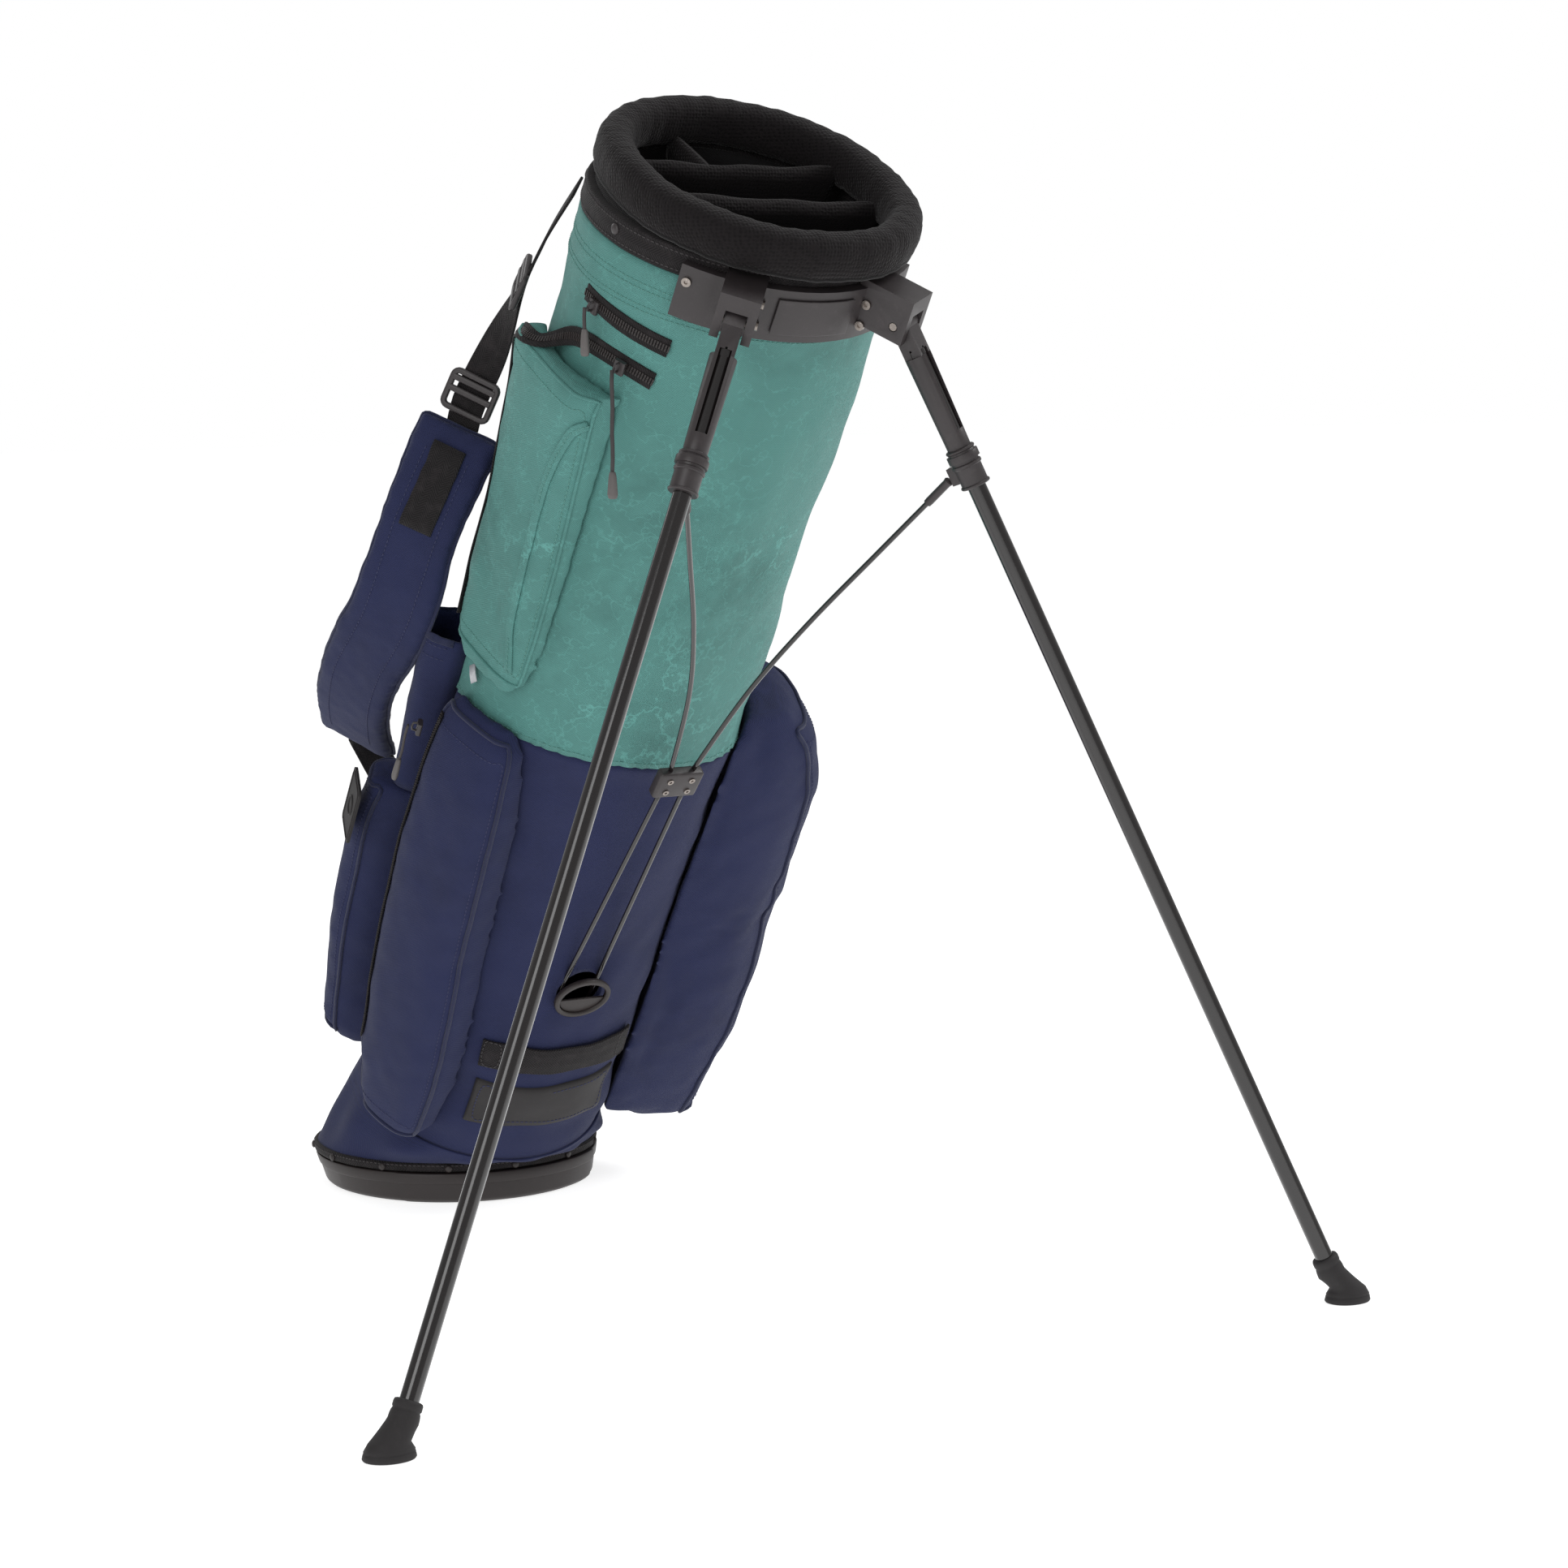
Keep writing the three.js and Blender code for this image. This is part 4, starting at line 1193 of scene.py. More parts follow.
# ---------- Mouth ----------
@dataclass
class Mouth:
    """The padded cuff, the band below it and the padded walls that part the mouth."""

    half_depth: float = 118.0
    half_width: float = 105.0
    middle: float = 896.0
    half_height: float = 16.0
    roll: float = 12.5
    squareness: float = 2.16

    def oval(self, half_depth: float, half_width: float, height: float,
             sides: int = 132) -> tuple[list[Vector], list[Vector]]:
        """Returns a rounded-square line that slopes with the rim, and the directions that it faces."""
        points, facing = [], []
        power = 2.0 / self.squareness
        for turn in turns(sides):
            cos, sin = math.cos(turn), math.sin(turn)
            a = half_depth * math.copysign(abs(cos) ** power, cos)
            b = half_width * math.copysign(abs(sin) ** power, sin)
            points.append(bag_point(a, b, height + RIM_SLOPE * a))
            facing.append(TO_FLOOR @ Vector((cos, sin * half_depth / half_width, 0.0)).normalized())
        return points, facing

    def build(self) -> None:
        """Makes and dresses the mouth."""
        path, facing = self.oval(self.half_depth - self.roll, self.half_width - self.roll, self.middle)
        outline = []
        for turn in turns(28):
            cos, sin = math.cos(turn), math.sin(turn)
            outline.append((self.half_height * math.copysign(abs(sin) ** 0.8, sin),
                            self.roll * math.copysign(abs(cos) ** 0.8, cos)))
        cuff = sweep("cuff_padding", path, facing, outline, closed=True)
        push_out(cuff, lambda p: 0.9 * ripple(p, 30.0) + 0.5 * ripple(p, 9.0, 4.0)
                 + 0.3 * math.sin(40.0 * math.atan2(p.y, p.x)))
        declare(cuff, MESH, "bag", "black_mesh", "cuff_pad")
        self.build_band(Surface(cuff))
        self.build_skirt()
        self.build_lining()
        self.build_walls()

    def build_band(self, cuff: Surface) -> None:
        """Makes the webbing band below the cuff, its stitches and its rivets."""
        angles = [360.0 * i / 120 for i in range(120)]

        def line(height: float, out: float) -> tuple[list[Vector], list[Vector]]:
            path = [rim_point(skin(angle, height, out)) for angle in angles]
            ways = [math.radians(angle) for angle in angles]
            return path, [TO_FLOOR @ Vector((math.cos(way), math.sin(way), 0)) for way in ways]

        path, facing = line(869.8, -1.6)
        band = sweep("cuff_band_webbing", path, facing, flat_outline(19.0, 6.6, 1.6), closed=True)
        push_out(band, lambda p: 0.5 * ripple(p, 22.0, 2.0))
        declare(band, STRAP, "bag", "webbing", "cuff_band")
        rows = [(*line(height, 1.9), True) for height in (863.5, 876.0)]
        declare(stitches(BLACK_THREAD).lay("cuff_band_stitches", rows), None, "bag", "webbing")
        studs = [skin(angle, 870.5, 2.0) for angle in (-78, -128, 180, 128, 78)]
        places = [rim_point(p) for p in studs]
        out = [TO_FLOOR @ Vector((p.x, p.y, 0)).normalized() for p in studs]
        row = Row(RowPart.RIVET, SATIN, 0.0, (8.0, 8.0, 3.4), resample=False)
        declare(row.lay("cuff_rivets", [(places, out, False)]), None, "bag", "satin_plastic")
        seam, _ = self.oval(self.half_depth - 3.5, self.half_width - 3.5, self.middle - 12.5)
        cord = sweep("cuff_seam_cord", *cuff.lay(seam, 0.2), round_outline(1.3), closed=True)
        declare(cord, LINING, "bag", "black_mesh")

    def build_lining(self) -> None:
        """Makes the black lining inside the upper cloth."""
        sides = 96
        heights = (560.0, 640.0, 720.0, 800.0, 866.0)
        rings = [[bag_point(*skin(360.0 * i / sides, height, -out)) for i in range(sides)]
                 for row, out in ((heights, 4.6), (heights[::-1], 5.6)) for height in row]
        declare(loft("mouth_lining", rings, cyclic=True), LINING, "bag", "black_mesh")

    def build_skirt(self) -> None:
        """Makes the mesh skirt that closes the gap between the band and the cuff's underside."""
        sides = 132
        rings = []
        for inset in (0.0, 1.5):
            reach = 8.0 + inset
            upper, _ = self.oval(self.half_depth - reach, self.half_width - reach, self.middle - 13.0, sides)
            lower = []
            for turn in turns(sides):
                point = skin(math.degrees(turn), 872.0, -1.0 - inset)
                lower.append(bag_point(point.x, point.y, 876.0 + RIM_SLOPE * point.x))
            rings += [upper, lower] if inset else [lower, upper]
        skirt = loft("cuff_skirt", rings, cyclic=True)
        declare(skirt, LINING, "bag", "black_mesh")

    def half_span(self, a: float, height: float) -> float:
        """Returns how wide a wall at a may be: narrow inside the cuff, as wide as the body below it."""
        if height > 850.0:
            shift, inside = 0.0, 2 * self.roll - 1.0
            depth, width = self.half_depth - inside, self.half_width - inside
        else:
            shift, depth, width = section(height)
            depth, width = depth - 11.5, width - 11.5
        return width * math.sqrt(max(0.05, 1.0 - ((a - shift) / depth) ** 2))

    def wall(self, name: str, a: float, bow: float, thickness: float, node: str) -> None:
        """Makes a padded wall with a rolled top, and the thin curtain below it."""
        span = self.half_span(a, 890.0) + 5.0
        count = 36
        share = [-1.0 + 2.0 * i / count for i in range(count + 1)]
        top = 900.0
        path = [bag_point(a + bow * t, span * t, top - 9.0 + RIM_SLOPE * a - 2.2 * math.cos(0.5 * math.pi * t)
                          + 0.7 * math.sin(9.0 * t)) for t in share]
        facing = [TO_FLOOR @ Vector((0.0, 0.0, 1.0))] * len(path)
        half = thickness / 2
        outline = [(-0.55 * half, -44.0), (-0.6 * half, -20.0), (-0.72 * half, -11.0)]
        outline += [(1.12 * half * -math.cos(math.pi * i / 10), -4.0 + 8.0 * math.sin(math.pi * i / 10))
                    for i in range(11)]
        outline += [(0.72 * half, -11.0), (0.6 * half, -20.0), (0.55 * half, -44.0)]
        roll = sweep(name, path, facing, outline)
        push_out(roll, lambda p: 0.5 * ripple(p, 17.0, a))
        declare(roll, MESH, "bag", "black_mesh", node)
        levels = [640.0, 700.0, 760.0, 820.0, 848.0]
        rings = []
        for height in levels:
            width = self.half_span(a, height) - 1.0
            corners = ((-2.5, -width), (2.5, -width), (2.5, 0.0), (2.5, width), (-2.5, width), (-2.5, 0.0))
            rings.append([bag_point(a + u, v, height) for u, v in corners])
        curtain = loft(f"{name}_curtain", rings)
        curtain.data.set_sharp_from_angle(angle=math.radians(40.0))
        declare(curtain, LINING, "bag", "black_mesh")

    def build_walls(self) -> None:
        """Makes the walls across the mouth and the one between the back wall and the body."""
        self.wall("front_divider_padding", 15.0, 6.0, 12.0, "divider_front")
        self.wall("rear_divider_padding", -38.0, 3.0, 10.0, "divider_rear")
        path = [bag_point(a, -12.0, 886.0 + RIM_SLOPE * a - 0.0008 * (a + 61.0) ** 2)
                for a in range(-98, -38, 4)]
        facing = [TO_FLOOR @ Vector((0.0, 0.0, 1.0))] * len(path)
        outline = [(-2.6, -60.0), (-2.8, -14.0)]
        outline += [(-4.4 * math.cos(math.pi * i / 8), -3.0 + 6.0 * math.sin(math.pi * i / 8))
                    for i in range(9)]
        outline += [(2.8, -14.0), (2.6, -60.0)]
        cross = sweep("cross_divider_padding", path, facing, outline)
        declare(cross, MESH, "bag", "black_mesh", "divider_cross")


# ---------- Stand ----------
@dataclass
class Stand:
    """The bracket, the two legs, and the rods that push them open."""

    length: float = 741.6
    tube_radius: float = 6.25
    lug_along: float = 108.0
    lug_reach: float = 13.0
    lug_gap: float = 4.2
    rod_x: float = 86.0
    rod_z: float = 50.0
    rod_radius: float = 1.8
    clip_at: float = 407.0
    low_spread: float = 17.2
    high_spread: float = 9.0
    arm_end: float = 685.0
    arm_spread: float = 94.2

    def build(self) -> None:
        """Makes and dresses the stand."""
        self.build_bracket()
        for name, side in SIDES.items():
            self.build_leg(name, side)
        self.build_rods()

    def build_bracket(self) -> None:
        """Makes the bracket, its plate and its screws."""
        bracket = softened("leg_bracket_moulding", "leg_bracket", 1.8)
        declare(bracket, SATIN, "bag", "satin_plastic", "leg_bracket")
        plate = softened("bracket_plate_moulding", "bracket_plate", 0.7)
        declare(plate, SATIN, "bag", "satin_plastic", "bracket_plate")
        surface = Surface(bracket)
        screws = ((-44, 869), (-19, 869), (19, 869), (44, 869), (-19, 853), (19, 853))
        places, out = surface.lay([bag_point(*skin(angle, height, 12.0)) for angle, height in screws], 0.6)
        row = Row(RowPart.SCREW, STEEL, 0.0, (6.4, 6.4, 2.6), resample=False)
        declare(row.lay("bracket_screws", [(places, out, False)]), None, "bag", "steel")
        for name in SIDES:
            dress(f"leg_pin_{name}", STEEL)

    def build_leg(self, name: str, side: int) -> None:
        """Makes one leg with its sleeve, tube, collar and foot."""
        axes = leg_axes(side)
        body = f"leg_{name}"
        sleeve = softened(f"leg_sleeve_{name}_moulding", f"leg_sleeve_{name}", 1.0)
        declare(sleeve, SATIN, body, "satin_plastic", f"leg_sleeve_{name}")
        r = self.tube_radius
        profile = ((r - 1, -722.0), (r, -721.0), (r, -500.0), (r, -250.0), (r, -21.0), (r - 1, -20.0))
        tube = lathe(f"leg_tube_{name}_coated", profile, axes)
        declare(tube, TUBE, body, "black_tube", f"leg_tube_{name}")
        collar = softened(f"leg_collar_{name}_moulding", f"leg_collar_{name}", 0.8)
        declare(collar, SATIN, body, "satin_plastic", f"leg_collar_{name}")
        rings = []
        for start, end, radius in ((-93.6, -91.4, 10.0), (-104.6, -101.8, 10.3), (-118.6, -116.4, 10.2)):
            profile = ((7.2, start), (radius - 0.6, start), (radius, start + 0.6), (radius, end - 0.6),
                       (radius - 0.6, end), (7.2, end))
            rings.append(lathe(f"ring_{len(rings)}", profile, axes))
        declare(joined(f"leg_rings_{name}", rings), SATIN, body, "satin_plastic")
        declare(self.boot(f"foot_{name}_boot", side), BLACK_RUBBER, body, "rubber", f"foot_{name}")

    def boot(self, name: str, side: int) -> bpy.types.Object:
        """Makes the rubber foot: round on the tube, spread and flat on the floor."""
        axes = leg_axes(side)
        tip = axes @ Vector((0, 0, -self.length))
        sides = 40

        def across(along: float, radius: float) -> list[Vector]:
            return [placed(axes, radius * math.cos(t), radius * math.sin(t), -along) for t in turns(sides)]

        def level(height: float, out: float) -> list[Vector]:
            ring = []
            for turn in turns(sides):
                pinch = 1.0 - 0.07 * math.cos(2 * turn)
                ring.append(floor_point(tip.x + 1 + (13 + out) * pinch * math.cos(turn),
                                        tip.y + side * 2 + (15 + out) * pinch * math.sin(turn), height))
            return ring

        neck = [across(*step) for step in ((706.0, 7.4), (706.6, 8.8), (708.0, 9.3), (711.0, 9.3),
                                           (712.2, 8.6), (713.4, 9.2), (716.0, 9.6))]
        upper, lower = across(719.0, 9.7), level(10.0, -2.2)
        middle = [[p.lerp(q, ease(t)) for p, q in zip(upper, lower)] for t in (0.25, 0.5, 0.75)]
        sole = [level(*step) for step in ((8.0, -1.2), (5.6, 0.2), (5.0, -0.4), (4.2, 0.4), (1.2, 1.0),
                                          (0.3, 0.4), (0.0, -0.6))]
        return loft(name, neck + [upper] + middle + [lower] + sole)

    def lug(self, side: int) -> Vector:
        """Returns the place of a leg collar's lug in the shared frame, in millimetres."""
        return leg_axes(side) @ Vector((-self.lug_reach, 0.0, -self.lug_along))

    def rod_axes(self) -> Matrix:
        """Returns the matrix from the rods' own axes to the shared frame, in millimetres."""
        lug = self.lug(1)
        turn = math.atan2(lug.x - self.rod_x, lug.z - self.rod_z)
        return Matrix.Translation((self.rod_x, 0.0, self.rod_z)) @ Matrix.Rotation(turn, 4, "Y")

    def build_rods(self) -> None:
        """Makes the push rods, their clip and the bowed arms."""
        axes = self.rod_axes()
        low, high = self.clip_at - 12.0, self.clip_at + 12.0
        clip = softened("rod_clip_moulding", "rod_clip", 2.2)
        declare(clip, SATIN, "push_rods", "satin_plastic", "rod_clip")
        front = direction(axes, 1.0, 0.0, 0.0)
        places = [placed(axes, 4.6, b, self.clip_at + z) for b in (-8.5, 8.5) for z in (-5.5, 5.5)]
        row = Row(RowPart.SCREW, STEEL, 0.0, (4.6, 4.6, 1.6), resample=False)
        declare(row.lay("clip_screws", [(places, [front] * 4, False)]), None, "push_rods", "steel")
        dress("rod_cross_bar", SATIN)
        for name, side in SIDES.items():
            points = [(0, side * self.low_spread, 5), (0, side * self.high_spread, low - 0.4)]
            self.rod(f"push_rod_{name}_coated", axes, points, "push_rods", f"push_rod_{name}")
            bow = [(0, side * blend_value(self.high_spread, self.arm_spread, y),
                    blend_value(high, self.arm_end, t)) for t, y in ((0.3, 0.17), (0.55, 0.42), (0.8, 0.74))]
            points = [(0, side * self.high_spread, high + 0.8), *bow, (0, side * self.arm_spread, self.arm_end)]
            self.rod(f"rod_arm_{name}_coated", axes, points, f"arm_{name}", f"rod_arm_{name}")
            start = axes @ Vector(points[-1])
            along = self.lug(side) - start
            turned = Matrix.Translation(start) @ along.to_track_quat("Z", "Y").to_matrix().to_4x4()
            reach = along.length - self.lug_gap
            profile = ((1.0, -9.0), (2.7, -8.4), (2.9, -6.0), (2.9, reach - 3.0), (3.4, reach - 1.0),
                       (2.6, reach), (1.0, reach + 0.3))
            joint = lathe(f"rod_end_{name}", profile, turned, 20)
            declare(joint, SATIN, f"arm_{name}", "satin_plastic")

    def rod(self, name: str, axes: Matrix, points: Sequence[tuple], body: str, node: str) -> None:
        """Makes one coated rod along points in the rods' own axes."""
        path = curve_points([placed(axes, *p) for p in points], 0.006)
        facing = [direction(axes, 1.0, 0.0, 0.0)] * len(path)
        declare(sweep(name, path, facing, round_outline(self.rod_radius, 14)), TUBE, body, "black_tube", node)


# ---------- Lower front ----------
@dataclass
class LowerFront:
    """What is fixed on the lower front: the rods' port, the grab strap and the hinge panel."""

    port_half_depth: float = 19.0
    port_half_width: float = 22.0
    strap_height: float = 202.0
    panel_low: float = 130.0
    panel_high: float = 174.0
    panel_turn: float = 36.0

    def build(self, lower: bpy.types.Object) -> None:
        """Makes and dresses the pieces on the lower cloth."""
        self.build_port()
        surface = Surface(lower)
        self.build_strap(surface)
        self.build_panel(surface)

    def build_port(self) -> None:
        """Makes the port's ring and the cover in its lower half."""
        at = skin(0.0, PORT_HEIGHT, 5.4)
        axes = TO_FLOOR @ Matrix.Translation(at) @ Matrix.Rotation(PORT_TURN, 4, "Y")
        depth, width = self.port_half_depth - 1.6, self.port_half_width - 1.6
        path = [placed(axes, depth * math.cos(t), width * math.sin(t), 0.0) for t in turns(72)]
        facing = [direction(axes, math.cos(t), math.sin(t), 0.0) for t in turns(72)]
        outline = [(-2.4, -1.7), (-2.4, 1.4), (-1.6, 1.9), (0.6, 1.9), (1.6, 1.5), (2.2, 0.6), (2.3, -0.6),
                   (1.6, -1.6)]
        ring = sweep("port_ring", path, facing, outline, closed=True)
        declare(ring, DARK, "bag", "dark_plastic", "rod_port")
        cover = softened("port_cover_moulding", "port_cover", 0.5)
        declare(cover, DARK, "bag", "dark_plastic", "port_cover")

    def build_strap(self, surface: Surface) -> None:
        """Makes the grab strap across the front, sewn down at its ends."""
        angles = [-37.0 + 74.0 * i / 40 for i in range(41)]
        guide = [bag_point(*skin(angle, self.strap_height - 0.0012 * angle ** 2, 2.0)) for angle in angles]
        laid, facing = surface.lay(guide, 1.5)
        lifts = [1.6 * math.sin(math.pi * i / 40) ** 0.6 for i in range(41)]
        path = [p + f * (lift * MM) for p, f, lift in zip(laid, facing, lifts)]
        strap = sweep("grab_strap_webbing", path, facing, flat_outline(24.0, 2.2, 0.9))
        push_out(strap, lambda p: 0.35 * ripple(p, 16.0, 3.0))
        declare(strap, STRAP, "bag", "webbing", "grab_strap")
        top = Surface(strap)
        lines = []
        for end in (-1, 1):
            box = [(end * 35.5, 10.0), (end * 35.5, -10.0), (end * 29.0, -10.0), (end * 29.0, 10.0)]
            lines.append([skin(angle, self.strap_height + h, 6.0) for angle, h in box])
        rows = sewn_lines(top, lines, closed=True, lift=0.2)
        declare(stitches(BLACK_THREAD).lay("grab_strap_stitches", rows), None, "bag", "webbing")

    def build_panel(self, surface: Surface) -> None:
        """Makes the rubber panel over the lower front, and its border stitches."""
        count, rows = 48, 10
        rings = []
        for k in range(rows + 1):
            height = blend_value(self.panel_low, self.panel_high, k / rows)
            guide = [bag_point(*skin(blend_value(-self.panel_turn, self.panel_turn, i / count), height, 2.0))
                     for i in range(count + 1)]
            near, facing = surface.lay(guide, 0.4)
            edge = min(k, rows - k)
            proud = 2.2 if edge else 1.4
            outer = [p + f * (proud * (1.0 if 0 < i < count else 0.5) * MM)
                     for i, (p, f) in enumerate(zip(near, facing))]
            rings.append(outer + near[::-1])
        panel = loft("hinge_panel_rubber", rings)
        declare(panel, BLACK_RUBBER, "bag", "rubber", "hinge_panel")
        top = Surface(panel)
        low, high, turn = self.panel_low + 5, self.panel_high - 5, self.panel_turn - 4
        corners = [(-turn, low), (-turn, high)] + [(a, high) for a in range(-24, 25, 12)]
        corners += [(turn, high), (turn, low)]
        corners += [(a, low) for a in range(24, -25, -12)]
        rows_laid = sewn_lines(top, [[skin(a, h, 3.0) for a, h in corners]], closed=True)
        declare(stitches(NAVY_THREAD).lay("hinge_panel_stitches", rows_laid), None, "bag", "rubber")


# ---------- Pockets ----------
@dataclass(frozen=True)
class PocketShape:
    """A pocket's outline at several heights: height, first angle, last angle, reach and droop."""

    levels: tuple[tuple[float, ...], ...]
    aim: float
    squareness: float = 0.55

    def point(self, share: float, height: float) -> Vector:
        """Returns the point of the outside at a share of the way round and a height."""
        levels = [tuple(level) + (0.0,) * (5 - len(level)) for level in self.levels]
        for low, high in zip(levels, levels[1:]):
            if height <= high[0]:
                break
        t = min(1.0, max(0.0, (height - low[0]) / (high[0] - low[0])))
        _, first, last, reach, droop = (blend_value(low[k], high[k], t) for k in range(5))
        start, end = skin(first, height, 1.4), skin(last, height, 1.4)
        turn = math.cos(math.pi * share)
        along = 0.5 - 0.5 * math.copysign(abs(turn) ** self.squareness, turn)
        rise = math.sin(math.pi * share) ** self.squareness
        aim = math.radians(self.aim)
        point = start.lerp(end, along) + Vector((math.cos(aim), math.sin(aim), 0.0)) * (reach * rise)
        point.z -= droop * rise
        return point

    def loop(self, first: float, last: float, low: float, high: float) -> list[Vector]:
        """Returns a closed line that goes up one edge, across the top, down the other and across the bottom."""
        heights = [low] + [level[0] for level in self.levels if low < level[0] < high] + [high]
        across = [blend_value(first, last, t) for t in (0.2, 0.4, 0.6, 0.8)]
        return ([self.point(first, height) for height in heights] + [self.point(t, high) for t in across]
                + [self.point(last, height) for height in heights[::-1]]
                + [self.point(t, low) for t in across[::-1]])


SIDE_POCKET = PocketShape(((508, -62, -98, 12), (525, -55, -110, 20), (570, -53, -120, 26), (640, -53, -124, 30),
                           (720, -53, -125, 36), (752, -53, -122, 38), (768, -53, -112, 34)), -88.0, 0.5)
APPAREL_POCKET = PocketShape(((100, -54, -72, 18), (116, -46, -86, 34), (160, -42, -95, 42), (260, -41, -98, 46),
                              (360, -42, -98, 46), (430, -44, -98, 40), (470, -48, -95, 28), (486, -56, -90, 14)), -65.0)
BALL_POCKET = PocketShape(((94, 62, 110, 54, 26), (102, 50, 124, 100, 22), (170, 46, 130, 116, 6), (300, 46, 132, 121),
                           (410, 46, 126, 110), (455, 48, 118, 86), (482, 56, 110, 46)), 90.0, 0.42)
ACCESSORY_POCKET = PocketShape(((118, -106, -124, 24), (135, -102, -130, 42), (220, -101, -133, 54),
                                (330, -101, -133, 54), (372, -101, -130, 46)), -116.0)


@dataclass
class Pockets:
    """The stuffed pockets, their piping, seams and sewn-on details."""

    voxel: float = 4.5
    pressure: float = 3.5

    def build(self, stuffing: Stuffing) -> None:
        """Makes the pockets' shells, ready to fill."""
        def on_body(point: Vector) -> bool:
            shift, half_depth, half_width = section(min(979.0, max(0.0, point.z)))
            return math.hypot((point.x - shift) / (half_depth + 9.0), point.y / (half_width + 9.0)) < 1.0

        make = {"side_pocket": 5.0, "apparel_pocket": 6.0, "ball_pocket": 9.0, "accessory_pocket": 6.0}
        self.shells = {node: stuffing.shell(f"{node}_cloth", node, self.voxel, 0.8, self.pressure, cap, on_body)
                       for node, cap in make.items()}

    def finish(self) -> None:
        """Adds folds and seams to the filled shells and dresses them."""
        for name, piece in self.shells.items():
            refine(piece, smooth=3)
            seed = float(len(name))
            wrinkle = {"side_pocket": 1.0, "apparel_pocket": 1.5, "ball_pocket": 1.3, "accessory_pocket": 1.6}[name]
            push_out(piece, lambda p: wrinkle * (1.1 * ripple(Vector((p.x, p.y, 0.5 * p.z)), 46.0, seed)
                                                 + 0.55 * ripple(p, 17.0, seed)))
        finishes = {"side_pocket": (WAXED_LEFT, "waxed_canvas"), "apparel_pocket": (NAVY_LEFT, "navy_canvas"),
                    "ball_pocket": (NAVY_RIGHT, "navy_canvas"), "accessory_pocket": (NAVY_LEFT, "navy_canvas")}
        for name, (finish, slot) in finishes.items():
            declare(self.shells[name], finish, "bag", slot, name)
        self.pipe("side_pocket", SIDE_POCKET.loop(0.10, 0.86, 522.0, 764.0), WAXED_LEFT, "waxed_canvas", 1.3)
        self.pipe("apparel_pocket", APPAREL_POCKET.loop(0.16, 0.86, 112.0, 478.0), PIPING, "navy_canvas", 1.7)
        self.pipe("ball_pocket", BALL_POCKET.loop(0.20, 0.80, 104.0, 468.0), PIPING, "navy_canvas", 1.7)
        self.pipe("accessory_pocket", ACCESSORY_POCKET.loop(0.2, 0.84, 132.0, 366.0), PIPING, "navy_canvas", 1.5)
        self.sew()

    def pipe(self, name: str, loop: Sequence[Vector], finish: Finish, slot: str, radius: float) -> None:
        """Makes a cord of piping round a pocket."""
        piping = laid_strip(f"{name}_piping", Surface(self.shells[name]), loop, radius * 0.35,
                            round_outline(radius), closed=True)
        declare(piping, finish, "bag", slot)

    def sew(self) -> None:
        """Adds rows of stitches beside the piping and along the slip pockets' hems."""
        shapes = {"side_pocket": (SIDE_POCKET.loop(0.17, 0.80, 532.0, 752.0), TEAL_THREAD, "waxed_canvas"),
                  "apparel_pocket": (APPAREL_POCKET.loop(0.22, 0.80, 124.0, 464.0), NAVY_THREAD, "navy_canvas"),
                  "ball_pocket": (BALL_POCKET.loop(0.25, 0.75, 116.0, 456.0), NAVY_THREAD, "navy_canvas"),
                  "accessory_pocket": (ACCESSORY_POCKET.loop(0.27, 0.77, 142.0, 356.0), NAVY_THREAD, "navy_canvas")}
        for name, (loop, thread, slot) in shapes.items():
            rows = sewn_lines(Surface(self.shells[name]), [loop], closed=True)
            declare(stitches(thread).lay(f"{name}_stitches", rows), None, "bag", slot)
        surface = Surface(self.shells["side_pocket"])
        hem = [SIDE_POCKET.point(share, height) for share, height in
               ((0.12, 745.0), (0.26, 732.0), (0.36, 690.0), (0.39, 630.0), (0.38, 570.0), (0.30, 532.0))]
        points = curve_points([bag_point(*p) for p in hem], 0.005)
        laid, facing = surface.lay(points, 0.7)
        welt = sweep("slip_pocket_hem", laid, facing, flat_outline(7.0, 1.8, 0.8))
        declare(welt, WAXED_LEFT, "bag", "waxed_canvas")
        rows = [(*Surface(welt).lay(points, 0.2), False)]
        declare(stitches(TEAL_THREAD).lay("slip_pocket_stitches", rows), None, "bag", "waxed_canvas")


